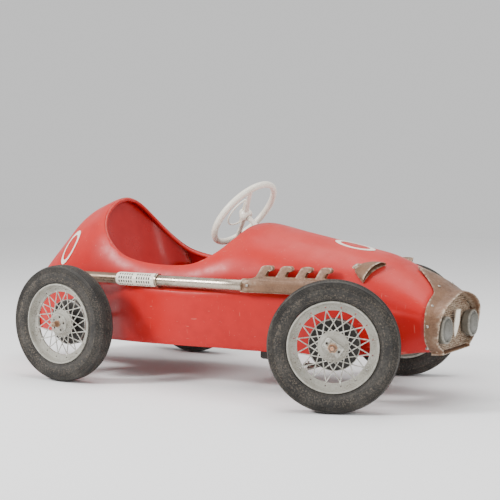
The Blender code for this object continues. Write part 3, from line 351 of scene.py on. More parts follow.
def block_data(low, high, b):
    """A box with its vertical corners rounded and its top and bottom edges eased by b."""
    x0, y0, z0 = low
    x1, y1, z1 = high
    rings = []
    for inset, z in ((b, z0), (0, z0 + b), (0, z1 - b), (b, z1)):
        ring = []
        for cx, cy, start in ((x1, y1, 0), (x0, y1, 1), (x0, y0, 2), (x1, y0, 3)):
            sx, sy = (1 if cx == x1 else -1), (1 if cy == y1 else -1)
            for k in range(4):
                a = math.pi / 2 * (start + k / 3)
                centre_x, centre_y = cx - sx * max(b, 1e-5), cy - sy * max(b, 1e-5)
                reach = max(b - inset, 1e-6)
                ring.append(Vector((centre_x + reach * math.cos(a), centre_y + reach * math.sin(a), z)))
        rings.append(ring)
    return loft_data(rings)


def apply_modifiers(made):
    bpy.context.view_layer.update()
    evaluated = made.evaluated_get(bpy.context.evaluated_depsgraph_get())
    mesh = bpy.data.meshes.new_from_object(evaluated)
    made.modifiers.clear()
    made.data = mesh
    smoothed(mesh)


def cut_by(made, cutter_mesh):
    cutter = link(bpy.data.objects.new("cutter", cutter_mesh))
    modifier = made.modifiers.new("Cut", "BOOLEAN")
    modifier.operation = "DIFFERENCE"
    modifier.object = cutter
    apply_modifiers(made)
    bpy.data.objects.remove(cutter, do_unlink=True)


def drilled(mesh, drills):
    """A mesh with holes cut by drills, a list of (points, faces) pairs."""
    made = link(bpy.data.objects.new("drilled_form", mesh))
    cut_by(made, gathered(drills))
    mesh = made.data
    bpy.data.objects.remove(made, do_unlink=True)
    return mesh


def bevelled(made, width):
    """Round the edges sharper than 55 degrees."""
    modifier = made.modifiers.new("Bevel", "BEVEL")
    modifier.width = width
    modifier.segments = 2
    modifier.limit_method = "ANGLE"
    modifier.angle_limit = math.radians(55)
    apply_modifiers(made)


def thickened(made, thickness):
    modifier = made.modifiers.new("Thickness", "SOLIDIFY")
    modifier.thickness = thickness
    modifier.offset = -1
    apply_modifiers(made)


def shell_mesh(rows, thickness, cap_first=False):
    """A sheet through a grid of points, thickened against its normals."""
    count = len(rows[0])
    faces = []
    for i in range(len(rows) - 1):
        for j in range(count - 1):
            a = i * count + j
            faces.append((a, a + count, a + count + 1, a + 1))
    if cap_first:
        faces.append(tuple(range(count)))
    mesh = bpy.data.meshes.new("sheet")
    mesh.from_pydata([tuple(p) for row in rows for p in row], [], faces)
    made = link(bpy.data.objects.new("sheet", mesh))
    thickened(made, thickness)
    mesh = made.data
    bpy.data.objects.remove(made, do_unlink=True)
    return mesh


# Body form


def station(x):
    """The body's values at x, on a Catmull-Rom curve through its stations."""
    x = min(max(x, BODY[0][0]), BODY[-1][0])
    i = 0
    while i < len(BODY) - 2 and x > BODY[i + 1][0]:
        i += 1
    rows = [BODY[max(i - 1, 0)], BODY[i], BODY[i + 1], BODY[min(i + 2, len(BODY) - 1)]]
    span = rows[2][0] - rows[1][0]
    t = (x - rows[1][0]) / span
    values = []
    for c in range(1, len(rows[1])):
        start = (rows[2][c] - rows[0][c]) / max(rows[2][0] - rows[0][0], span) * span
        end = (rows[3][c] - rows[1][c]) / max(rows[3][0] - rows[1][0], span) * span
        a = 2 * rows[1][c] - 2 * rows[2][c] + start + end
        b = -3 * rows[1][c] + 3 * rows[2][c] - 2 * start - end
        values.append(a * t**3 + b * t**2 + start * t + rows[1][c])
    if x > 0.12:
        values[1] = min(values[1], values[0])
    return values


def flank(x, share):
    """The lower side's width at a share of its height: tucked in below, and rounder at the nose."""
    along = min(max((x - 0.76) / 0.14, 0.0), 1.0)
    tuck = 0.07 + 0.28 * along**2 * (3 - 2 * along)
    return 1 - tuck * max(1 - share / 0.85, 0.0) ** 3


def half_section(x, grow=0.0):
    """(y, z) from the bottom edge up the flank, over the crease and up to the top centre."""
    flank_steps, step_steps, arch_steps = 10, 5, 22
    lower, upper, bottom, crease, top, power = station(x)
    lower, upper, top = lower + grow, upper + grow, top + grow
    blend = min(0.007, 0.3 * (crease - bottom))
    side = []
    for i in range(flank_steps):
        v = i / flank_steps
        z = bottom + v * (crease - blend - bottom)
        side.append((lower * flank(x, v), z))
    for i in range(step_steps):
        v = i / step_steps
        eased = v * v * (3 - 2 * v)
        side.append((lower + (upper - lower) * eased, crease - blend + 2 * blend * v))
    for i in range(arch_steps + 1):
        a = math.pi / 2 * i / arch_steps
        y = upper * max(math.cos(a), 0.0) ** (2 / power)
        side.append((y, crease + blend + (top - crease - blend) * math.sin(a) ** (2 / power)))
    return side


def full_section(x):
    half = half_section(x)
    world_x = REAR_AXLE_X + x
    return [(world_x, -y, z) for y, z in half] + [(world_x, y, z) for y, z in reversed(half[:-1])]


def top_of_body(x, y):
    _, upper, _, crease, top, power = station(x)
    share = min(abs(y) / upper, 1.0)
    return crease + (top - crease) * (1 - share**power) ** (1 / power)


def arch_half_width(x, z):
    _, upper, bottom, crease, top, power = station(x)
    start = crease + min(0.007, 0.3 * (crease - bottom))
    share = min(max((z - start) / (top - start), 0.0), 1.0)
    return upper * (1 - share**power) ** (1 / power)


def over_body(x, y, out):
    """A point over the upper body, lifted along its normal, with that normal."""
    step = 0.003
    slope_x = (top_of_body(x + step, y) - top_of_body(x - step, y)) / (2 * step)
    slope_y = (top_of_body(x, y + step) - top_of_body(x, y - step)) / (2 * step)
    normal = Vector((-slope_x, -slope_y, 1)).normalized()
    return Vector((REAR_AXLE_X + x, y, top_of_body(x, y))) + normal * out, normal


def spread(start, end, count):
    return [start + (end - start) * i / (count - 1) for i in range(count)]


def cockpit_outline():
    """(x, y) round the opening, a rounded oblong that is rounder in front."""
    back, front = REAR_AXLE_X + COCKPIT_BACK, REAR_AXLE_X + COCKPIT_FRONT
    outline = []
    for a in circle(128):
        c, s = math.cos(a), math.sin(a)
        power = 2 / (COCKPIT_POWER if c < 0 else 3.6)
        x = (back + front) / 2 + (front - back) / 2 * math.copysign(abs(c) ** power, c)
        outline.append((x, COCKPIT_HALF * math.copysign(abs(s) ** power, s)))
    return outline


def body_shell():
    """The moulded body with its cockpit and axle openings, with a darker red on its inner faces as painted
    shade.
    """
    stations = [-0.316, -0.3145, -0.312, -0.308, -0.303, -0.296] + spread(-0.288, 0.8725, 104)
    shell = piece("body", shell_mesh([full_section(x) for x in stations], SKIN, cap_first=True), "red")
    outline = cockpit_outline()
    cut_by(shell, loft([[Vector((x, y, z)) for x, y in outline] for z in (0.245, 0.60)]))
    for centre, half in ((REAR_AXLE_X, 0.016), (JOINTS["knuckle_left_turn"]["pos_m"][0], 0.018)):
        low, high = (centre - half, -0.3, 0.05), (centre + half, 0.3, AXLE_Z + 0.018)
        cut_by(shell, mesh_of(*block_data(low, high, 0.004)))
    bevelled(shell, 0.0010)
    # Inner faces take the darker red: painted shade.
    shell.data.materials.append(FINISH["interior"])
    for face in shell.data.polygons:
        outward = Vector((0, face.center.y, face.center.z - 0.2))
        if face.normal.dot(outward) < 0:
            face.material_index = 1
    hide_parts("body_shell")
    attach(shell, "chassis")


def rim_roll():
    """The rounded edge that the moulding turns in round the cockpit."""
    radius = 0.0050
    outline = [(x - REAR_AXLE_X, y) for x, y in cockpit_outline()]
    centres = [over_body(x, y, -radius)[0] for x, y in outline]
    count = len(centres)
    rings = []
    for i, centre in enumerate(centres):
        forward = (centres[(i + 1) % count] - centres[i - 1]).normalized()
        across = forward.cross(Vector((0, 0, 1))).normalized()
        up = across.cross(forward)
        rings.append([centre + across * (radius * math.cos(a)) + up * (radius * math.sin(a))
                      for a in circle(12)])
    made = piece("cockpit_rim", loft(rings, closed=True), "red", 60)
    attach(made, "chassis")


def rim_bulge(y):
    """How far forward of its back the cockpit's rear edge lies, at y."""
    share = min(abs(y) / COCKPIT_HALF, 0.999)
    curve = 1 - (1 - share**COCKPIT_POWER) ** (1 / COCKPIT_POWER)
    return min((COCKPIT_FRONT - COCKPIT_BACK) / 2 * curve, 0.070)


def cockpit_liner():
    """Smooth moulded back and pan inside the opening."""
    spine = [(-0.0315, 0.430), (-0.0305, 0.410), (-0.0270, 0.380), (-0.0200, 0.345), (-0.0105, 0.310),
             (0.0000, 0.280), (0.0140, 0.250), (0.0340, 0.222), (0.0580, 0.204), (0.0880, 0.194),
             (0.1300, 0.189), (0.1900, 0.189), (0.2500, 0.194), (0.2750, 0.196)]
    rows = []
    for i in range(len(spine) - 1):
        for k in range(4):
            t = k / 4
            x = spine[i][0] + (spine[i + 1][0] - spine[i][0]) * t
            z = spine[i][1] + (spine[i + 1][1] - spine[i][1]) * t
            rows.append((x, z))
    rows.append(spine[-1])
    grid = []
    for x, z in rows:
        back = min(max((z - 0.20) / 0.06, 0.0), 1.0)
        half = 0.146
        for _ in range(4):
            edge_x = x + rim_bulge(half) * back
            half = min(arch_half_width(edge_x, z + 0.0035) - 0.0040, 0.150) * back + 0.146 * (1 - back)
        row = []
        for j in range(49):
            v = -1 + j / 24
            y = half * v
            row.append((REAR_AXLE_X + x + rim_bulge(y) * back, y, z + 0.042 * abs(v) ** 3 * (1 - back)))
        grid.append(row)
    # The liner takes the darker red: painted shade.
    liner = piece("cockpit_liner", shell_mesh(grid, 0.003), "interior", 60)
    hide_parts("seat")
    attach(liner, "chassis")


def nose_ring(rearward, front, grow, scale=1.0):
    """A ring round the nose that follows the body's section."""
    centre_z = 0.172
    half = []
    for index, (y, z) in enumerate(half_section(0.86, grow)):
        tongue = 0.069 * max(0.0, 1 - y / 0.075) ** 1.5 if z > 0.2 else 0.0
        x = front - (front - 0.874 + tongue) * rearward
        y, z = half_section(x, grow)[index]
        half.append((x, y, z))
    x, y, z = half[0]
    under = [(x, y * share, z - grow) for share in (0.98, 0.8, 0.6, 0.4, 0.2)]
    right = [(x, -y, z) for x, y, z in under[::-1] + half]
    left = [(x, y, z) for x, y, z in reversed(under[::-1] + half[:-1])]
    ring = right + left + [(x, 0.0, under[0][2])]
    return [Vector((REAR_AXLE_X + x, y * scale, centre_z + (z - centre_z) * scale)) for x, y, z in ring]


def brow(ring, forward):
    """Move a ring forward, least at the bottom and most at the top."""
    made = []
    for p in ring:
        height = min(max((p.z - 0.14) / 0.09, 0.0), 1.0)
        share = 0.45 + 1.0 * height if forward > 0 else 1.0
        made.append(p + Vector((forward * share, 0, 0)))
    return made


def nose_cowl():
    """The metal nose ring, whose lip is rolled forward round the grille."""
    inner, front = 0.0036, 0.89325
    rings = [nose_ring(share, front, COWL_OUTER) for share in (1.0, 0.97, 0.75, 0.5, 0.25, 0.0)]
    lip = ((0.996, 0.0050), (0.990, 0.0090), (0.981, 0.0125), (0.970, 0.0146), (0.960, 0.0150),
           (0.951, 0.0138), (0.944, 0.0100), (0.939, 0.0045), (0.936, -0.0060))
    for scale, forward in lip:
        rings.append(brow(nose_ring(0.0, front, COWL_OUTER, scale), forward))
    rings.append(brow(nose_ring(0.0, front, inner, 0.975), -0.004))
    rings += [nose_ring(share, front - 0.003, inner) for share in (0.5, 0.97, 1.0)]
    cowl = piece("nose_cowl_skin", loft(rings, closed=True), "bronze")
    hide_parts("nose_cowl")
    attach(cowl, "chassis")


GRILLE_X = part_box("grille")[0].x
LAMP_CENTRE = (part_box("headlamp_body_left")[0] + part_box("headlamp_body_left")[1]) / 2
LAMP_Y, LAMP_Z = LAMP_CENTRE.y, LAMP_CENTRE.z


def grille():
    """A plate with level slats that stop short of the lamps."""
    outline = [(p.y, p.z) for p in nose_ring(0.0, 0.890, 0.002, 0.99)]
    parts = [loft_data([[Vector((GRILLE_X + dx, y, z)) for y, z in outline] for dx in (0.0, 0.0015)])]
    low, high = min(z for y, z in outline), max(z for y, z in outline)
    slats = 26
    lamp_clearance = 0.0310
    for i in range(slats):
        z = low + (high - low) * (i + 0.6) / slats
        reach = max((abs(y) for y, edge_z in outline if abs(edge_z - z) < 0.006), default=0.0) - 0.003
        if abs(z - LAMP_Z) < lamp_clearance:
            reach = min(reach, LAMP_Y - math.sqrt(lamp_clearance**2 - (z - LAMP_Z) ** 2))
        if reach < 0.02:
            continue
        path = [Vector((GRILLE_X + 0.0030, -reach + 2 * reach * k / 6, z)) for k in range(7)]
        parts.append(tube_data(path, 0.0017, 6, flat=0.75))
    made = piece("grille_slats", gathered(parts), "bronze")
    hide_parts("grille")
    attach(made, "chassis")


def badge():
    """Blank shield with a raised border."""
    top, shoulder, tip, half_width = 0.036, 0.008, -0.024, 0.0125
    half = [(half_width - 0.08 * (top - shoulder), top)]
    for i in range(13):
        share = i / 12
        z = shoulder + (tip - shoulder) * share
        half.append((max(half_width * (1 - share**1.7) ** 0.8, 0.0002), z))
    outline = half + [(-y, z) for y, z in reversed(half)]
    middle_z, centre = 0.168, 0.006
    rings = []
    for scale, x in ((1.0, 0.0), (1.0, 0.0020), (0.90, 0.0030), (0.84, 0.0022), (0.5, 0.0026)):
        ring = [(y * scale, middle_z + centre + (z - centre) * scale) for y, z in outline]
        rings.append([Vector((GRILLE_X + 0.0115 + x + 0.12 * (z - middle_z), y, z)) for y, z in ring])
    made = piece("badge", loft(rings), "cream")
    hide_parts("badge_plate")
    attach(made, "chassis")


def headlamp(side):
    """A round lamp: a bowl with a rolled rim, and a ribbed lens."""
    word = "left" if side > 0 else "right"
    place = Matrix.Translation((GRILLE_X, side * LAMP_Y, LAMP_Z)) @ Matrix.Rotation(-math.pi / 2, 4, "Z")
    bowl = [(0.0120, -0.020), (0.0180, -0.020), (0.0180, 0.0045), (0.0255, 0.0050), (0.0282, 0.0075),
            (0.0295, 0.0120), (0.0295, 0.0190), (0.0300, 0.0202), (0.0298, 0.0222), (0.0282, 0.0241),
            (0.0266, 0.0245), (0.0254, 0.0236), (0.0250, 0.0222), (0.0250, 0.0150), (0.0120, 0.0060)]
    made = piece(f"headlamp_rim_{word}", turned(bowl, 56, place), "lamp")
    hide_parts(f"headlamp_body_{word}")
    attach(made, "chassis")
    dome = [(AXIS, 0.0165), (0.0247, 0.0165), (0.0247, 0.0222), (0.0225, 0.0240), (0.0190, 0.0254),
            (0.0142, 0.0266), (0.0095, 0.0272), (0.0048, 0.0275), (AXIS, 0.0276)]
    parts = [lathe_data(dome, 56)]
    rib_pitch, ribbed_radius = 0.0033, 0.0230
    for i in range(-6, 7):
        x = i * rib_pitch
        reach = math.sqrt(ribbed_radius**2 - x**2)
        path = []
        for k in range(9):
            z = -reach + 2 * reach * k / 8
            r = math.hypot(x, z)
            path.append(Vector((x, 0.0277 - 6.2 * r * r, z)))
        parts.append(tube_data(path, 0.00055, 6, side=Vector((0, 1, 0))))
    lens = piece(f"lens_{word}", mesh_of(*moved_data(join_data(parts), place)), "lens")
    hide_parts(f"headlamp_lens_{word}")
    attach(lens, "chassis")


def screw_data(place, normal):
    """A slotted round head."""
    radius = 0.0034
    profile = [(AXIS, 0.0), (radius, 0.0), (radius, 0.0007), (radius * 0.8, 0.0016), (radius * 0.4, 0.0021),
               (AXIS, 0.0022)]
    turn = Vector((0, 1, 0)).rotation_difference(normal).to_matrix().to_4x4()
    place_matrix = Matrix.Translation(place) @ turn
    head = lathe_data(profile, 20)
    # The slot is a thin bar filled in dark: painted shade.
    slot = block_data((-radius * 0.85, 0.0016, -0.0003), (radius * 0.85, 0.0023, 0.0003), 0.0001)
    return moved_data(head, place_matrix), moved_data(slot, place_matrix)


def screws():
    """Round-head screws along the cowl's rear edge, on the scoops and on the manifold."""
    heads, slots, places = [], [], []
    outer_x, tongue_x, flank_x, manifold_x = 0.880, 0.868, 0.881, 0.466
    for x, y in ((outer_x, -0.095), (tongue_x, -0.035), (tongue_x, 0.035), (outer_x, 0.095)):
        places.append(over_body(x, y, COWL_OUTER))
    width = station(flank_x)[0] + COWL_OUTER
    for z in (0.132, 0.178):
        for side in (-1, 1):
            places.append((Vector((REAR_AXLE_X + flank_x, side * width, z)), Vector((0, side, 0))))
    for side in (-1, 1):
        places.append(over_body(SCOOP_TAB_X + 0.005, side * SCOOP_Y, 0.0040))
    on_manifold = Vector((REAR_AXLE_X + manifold_x, manifold_y(manifold_x) - 0.0095, 0.2475))
    places.append((on_manifold, Vector((0, -1, 0))))
    for place, normal in places:
        head, slot = screw_data(place, normal)
        heads.append(head)
        slots.append(slot)
    made = piece("screw_heads", gathered(heads), "bright")
    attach(made, "chassis")
    # Dark bars in the screw slots: painted shade.
    made = piece("screw_slots", gathered(slots), "dark")
    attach(made, "chassis")


SCOOP_TAB_X = 0.6930
SCOOP_Y = 0.089
SCOOP_SLANT = 0.65
SCOOP_CLEAR = 0.0022


def scoop_ring(x, width, rise, side, clear):
    """A half-round section of the scoop, slanting back towards the flank."""
    ring = []
    for i in range(29):
        a = math.pi * i / 28
        out = -width * math.cos(a)
        lift = clear + rise * math.sin(a) ** 0.85
        ring.append(over_body(x - SCOOP_SLANT * out, side * (SCOOP_Y + out), lift)[0])
    for i in range(1, 10):
        out = width * (1 - i / 5)
        ring.append(over_body(x - SCOOP_SLANT * out, side * (SCOOP_Y + out), clear)[0])
    return ring


def air_scoop(side):
    """A tab for the screw, which swells into a half-round mouth facing forward."""
    word = "left" if side > 0 else "right"
    rings = [scoop_ring(x, width, rise, side, SCOOP_CLEAR)
             for x, width, rise in ((SCOOP_TAB_X, 0.0030, 0.0010), (SCOOP_TAB_X + 0.0015, 0.0056, 0.0014),
                                    (SCOOP_TAB_X + 0.0055, 0.0066, 0.0016))]
    for i in range(13):
        t = i / 12
        width, rise = 0.0070 + 0.0170 * t**0.7, 0.0018 + 0.0142 * t**0.8
        rings.append(scoop_ring(SCOOP_TAB_X + 0.010 + 0.040 * t, width, rise, side, SCOOP_CLEAR))
    for i in range(9):
        t = 1 - i / 8
        width, rise = 0.0105 + 0.0116 * t, 0.0055 + 0.0085 * t
        rings.append(scoop_ring(SCOOP_TAB_X + 0.024 + 0.0262 * t, width, rise, side, SCOOP_CLEAR + 0.0014))
    made = piece(f"scoop_{word}", loft(rings, closed=True), "bronze", 50)
    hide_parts(f"air_scoop_{word}")
    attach(made, "chassis")


PIPE_RADIUS = 0.0130
PIPE_Z = 0.2465
PIPE_FRONT = Vector((REAR_AXLE_X + 0.452, -0.1705, PIPE_Z))
PIPE_BACK = Vector((REAR_AXLE_X - 0.118, -0.1900, PIPE_Z))
PIPE_FRAME = Matrix.Translation(PIPE_BACK) @ Vector((0, 1, 0)).rotation_difference(
    PIPE_FRONT - PIPE_BACK).to_matrix().to_4x4()
PIPE_LENGTH = (PIPE_FRONT - PIPE_BACK).length


def exhaust_pipe():
    """An open pipe, bright in front and darker and browner behind, with a dark disc some way in as painted
    shade inside.
    """
    r = PIPE_RADIUS
    profile = [(r - 0.002, 0.0006), (r - 0.0012, 0.0), (r - 0.0004, 0.0006), (r, 0.0020)]
    profile += [(r, PIPE_LENGTH * k / 10) for k in range(1, 10)]
    profile += [(r, PIPE_LENGTH - 0.002), (r - 0.001, PIPE_LENGTH), (r - 0.002, PIPE_LENGTH)]
    profile += [(r - 0.002, PIPE_LENGTH - 0.001)]
    made = piece("tail_pipe", turned(profile, 48, PIPE_FRAME), "pipe")
    # The rear part of the pipe, beside the rear wheel, takes the darker, browner finish.
    made.data.materials.append(FINISH["stained"])
    for face in made.data.polygons:
        if face.center.x < PIPE_BACK.x + 0.45 * PIPE_LENGTH:
            face.material_index = 1
    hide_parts("exhaust_pipe")
    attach(made, "chassis")
    # A dark disc inside the open pipe: painted shade.
    shade_disc_form = moved_data(rod_data(r - 0.0025, 0.11, 0.114, 32), PIPE_FRAME)
    shade_disc = piece("pipe_blank", mesh_of(*shade_disc_form), "dark")
    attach(shade_disc, "chassis")
    plug = [(AXIS, PIPE_LENGTH - 0.004), (r - 0.0022, PIPE_LENGTH - 0.004),
            (r - 0.0022, PIPE_LENGTH - 0.0008), (AXIS, PIPE_LENGTH - 0.0005)]
    cap = piece("pipe_front_plug", turned(plug, 32, PIPE_FRAME), "bronze")
    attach(cap, "chassis")


def exhaust_sleeve():
    """Cream sleeve pierced by rows of slots in two groups."""
    start, end = 0.388 * PIPE_LENGTH, 0.585 * PIPE_LENGTH
    around = 60
    slot_rows = 10
    lengths = [start, start + 0.006]
    solid_gap = (end - start - 0.012) / 27
    marks = []
    y = start + 0.006
    for _ in range(2):
        for _ in range(6):
            y += solid_gap * 0.75
            marks.append((round(y, 6), round(y + solid_gap * 1.15, 6)))
            y += solid_gap * 1.15
        y += solid_gap * 2.6
    for low, high in marks:
        lengths += [low, high]
    lengths += [end - 0.004, end]
    lengths = sorted(set(round(v, 6) for v in lengths if start <= v <= end))
    radius = 0.0160
    grid, faces = [], []
    for v in lengths:
        inset = 0.0012 if v in (lengths[0], lengths[-1]) else 0.0
        for a in circle(around):
            grid.append(Vector(((radius - inset) * math.cos(a), v, (radius - inset) * math.sin(a))))
    period = around // slot_rows
    for i in range(len(lengths) - 1):
        pierced_band = (lengths[i], lengths[i + 1]) in marks
        for j in range(around):
            if pierced_band and j % period in (1, 2, 3, 4):
                continue
            k = (j + 1) % around
            faces.append((i * around + j, i * around + k, (i + 1) * around + k, (i + 1) * around + j))
    made = piece("pierced_sleeve", mesh_of(grid, faces), "cream")
    thickened(made, 0.0014)
    made.data.transform(PIPE_FRAME)
    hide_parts("exhaust_sleeve")
    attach(made, "chassis")
    # A dark core under the sleeve, seen through its slots: painted shade.
    core = [(PIPE_RADIUS + 0.0002, start + 0.002), (PIPE_RADIUS + 0.0008, start + 0.002),
            (PIPE_RADIUS + 0.0008, end - 0.002), (PIPE_RADIUS + 0.0002, end - 0.002)]
    dark = piece("sleeve_core", turned(core, 48, PIPE_FRAME), "dark")
    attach(dark, "chassis")
    band = [(0.0160, end - 0.0005), (0.0168, end + 0.0005), (0.0168, end + 0.0045), (0.0160, end + 0.0055),
            (0.0134, end + 0.0055), (0.0134, end - 0.0005)]
    clip = piece("sleeve_clip", turned(band, 48, PIPE_FRAME), "pipe")
    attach(clip, "chassis")


def manifold_y(x):
    """Where the manifold's middle lies beside the body's right flank."""
    return -(station(x)[0] + 0.0110)


def curved(points, steps=4):
    """An open Catmull-Rom curve through points in a plane."""
    made = []
    for i in range(len(points) - 1):
        p0, p1, p2, p3 = (Vector(points[min(max(i + k, 0), len(points) - 1)]) for k in (-1, 0, 1, 2))
        for k in range(steps):
            t = k / steps
            made.append(tuple(0.5 * (2 * p1 + (p2 - p0) * t + (2 * p0 - 5 * p1 + 4 * p2 - p3) * t**2
                                     + (3 * p1 - p0 - 3 * p2 + p3) * t**3)))
    return made + [tuple(points[-1])]


def manifold():
    """Flat casting with four stubs that curl forward, bent to the body's flank."""
    bottom, gap_floor = 0.2335, 0.2660
    tip = gap_floor + 0.024
    back, front, first_root, pitch = 0.448, 0.672, 0.484, 0.0475
    outline = [(back, bottom + 0.006), (back + 0.002, bottom + 0.001), (back + 0.008, bottom)]
    outline += [(back + 0.008 + (front - back - 0.012) * k / 20, bottom) for k in range(1, 21)]
    outline += [(front, bottom + 0.005), (front, gap_floor - 0.010)]
    for i in reversed(range(4)):
        root = first_root + pitch * i
        stub = [(0.0265, gap_floor), (0.0215, gap_floor + 0.001), (0.0195, gap_floor + 0.006),
                (0.0240, tip - 0.0085), (0.0310, tip - 0.0075), (0.0330, tip - 0.0040), (0.0280, tip),
                (0.0120, tip - 0.0010), (0.0060, gap_floor + 0.012), (0.0, gap_floor)]
        outline += [(root + x, z) for x, z in curved(stub)]
    outline += [(0.476, gap_floor - 0.004), (0.466, gap_floor - 0.006), (0.452, gap_floor - 0.0065),
                (back, gap_floor - 0.011)]
    curve = bpy.data.curves.new("casting", "CURVE")
    curve.dimensions = "2D"
    curve.fill_mode = "BOTH"
    curve.extrude = 0.0062
    curve.bevel_depth = 0.0022
    curve.bevel_resolution = 2
    spline = curve.splines.new("POLY")
    spline.points.add(len(outline) - 1)
    for point, (x, z) in zip(spline.points, outline):
        point.co = (x, z, 0, 1)
    spline.use_cyclic_u = True
    drawn = link(bpy.data.objects.new("casting", curve))
    bpy.context.view_layer.update()
    mesh = bpy.data.meshes.new_from_object(drawn.evaluated_get(bpy.context.evaluated_depsgraph_get()))
    bpy.data.objects.remove(drawn, do_unlink=True)
    casting = bmesh.new()
    casting.from_mesh(mesh)
    bmesh.ops.remove_doubles(casting, verts=casting.verts, dist=1e-6)
    long_edges = [e for e in casting.edges if e.calc_length() > 0.012]
    bmesh.ops.subdivide_edges(casting, edges=long_edges, cuts=3, use_grid_fill=True)
    for vertex in casting.verts:
        x, z, depth = vertex.co
        lean = 0.35 * max(0.0, z - 0.2535)
        thin = 1.0 if z < gap_floor else 0.8
        vertex.co = Vector((REAR_AXLE_X + x, manifold_y(x) + lean - depth * thin, z))
    bmesh.ops.recalc_face_normals(casting, faces=casting.faces)
    casting.to_mesh(mesh)
    casting.free()
    made = piece("manifold", mesh, "bronze", 45)
    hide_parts("exhaust_manifold")
    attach(made, "chassis")


def tail_cap():
    """A bent sheet that wraps round the lower end of the tail."""
    stand_off = 0.0045
    grid = []
    for i in range(9):
        level = -0.04 + 0.94 * i / 8
        flank = []
        for x in spread(-0.254, -0.316, 22):
            lower, _, bottom, crease, _, _ = station(x)
            tuck = 1 - 0.07 * max(0.0, 1 - max(level, 0) / 0.7) ** 2
            rise = level * (1 - 0.16 * (x + 0.316) / 0.062)
            z = bottom + rise * (crease - bottom)
            flank.append((REAR_AXLE_X + x - stand_off, lower * tuck + stand_off, z))
        z = flank[-1][2]
        tail_x = REAR_AXLE_X - 0.316 - stand_off - 0.0006
        end = [(tail_x, 0.016 * v, z) for v in (-0.8, -0.4, 0.0, 0.4, 0.8)]
        grid.append([(x, -y, z) for x, y, z in flank] + end + [(x, y, z) for x, y, z in reversed(flank)])
    made = piece("tail_cap_skin", shell_mesh(grid, 0.0022), "bronze", 50)
    bevelled(made, 0.0006)
    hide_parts("tail_cap")
    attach(made, "chassis")


def race_marks():
    """Plain white oval rings on both sides of the tail and on the bonnet."""
    tail_x, tail_z, tail_half_width, tail_half_height, tail_lean = -0.110, 0.310, 0.022, 0.043, 0.016
    bonnet_x, bonnet_y, bonnet_half_width, bonnet_half_length = 0.655, -0.012, 0.024, 0.050
    low, high, inner = 0.0004, 0.0012, 0.74

    def on_tail(side):
        def place(across, along, out):
            x = tail_x + tail_half_width * across + tail_lean * along
            z = tail_z + tail_half_height * along
            return Vector((REAR_AXLE_X + x, side * (arch_half_width(x, z) + out), z))
        return place

    def on_bonnet(across, along, out):
        return over_body(bonnet_x + bonnet_half_length * along, bonnet_y + bonnet_half_width * across, out)[0]

    for name, place in (("tail_mark_right", on_tail(-1)), ("tail_mark_left", on_tail(1)),
                        ("bonnet_mark", on_bonnet)):
        rings = []
        for a in circle(64):
            ring = []
            for scale, out in ((1.0, low), (1.0, high), (inner, high), (inner, low)):
                ring.append(place(scale * math.cos(a), scale * math.sin(a), out))
            rings.append(ring)
        made = piece(name, loft(rings, closed=True), "white")
        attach(made, "chassis")


# Wheels, built round the origin with +Y outboard


def tyre_mesh():
    """A tyre with five fine ribs on each shoulder and six round the tread."""
    profile = [(0.0968, 0.0172), (0.0985, 0.0196), (0.1005, 0.0206), (0.1015, 0.0202), (0.1030, 0.0214),
               (0.1060, 0.0232), (0.1100, 0.0246), (0.1150, 0.0250), (0.1200, 0.0250)]
    for i in range(5):
        r = 0.1225 + 0.0028 * i
        y = 0.0249 - 0.0022 * (i / 4) ** 2
        profile += [(r, y - 0.0004), (r + 0.0006, y + 0.0003), (r + 0.0018, y + 0.0001),
                    (r + 0.0024, y - 0.0009)]
    profile += [(0.1366, 0.0196), (0.1378, 0.0172), (0.1388, 0.0148)]
    for i in range(3):
        middle = 0.0120 - 0.0048 * i
        crown = 0.1400 - 5.4 * middle**2
        for offset, drop in ((0.0016, 0.0012), (0.0011, 0.0), (-0.0011, 0.0), (-0.0016, 0.0012)):
            profile.append((crown - drop, middle + offset))
    full = profile + [(r, -y) for r, y in reversed(profile)] + [(0.0968, 0.0)]
    return mesh_of(*lathe_data(full, 128))


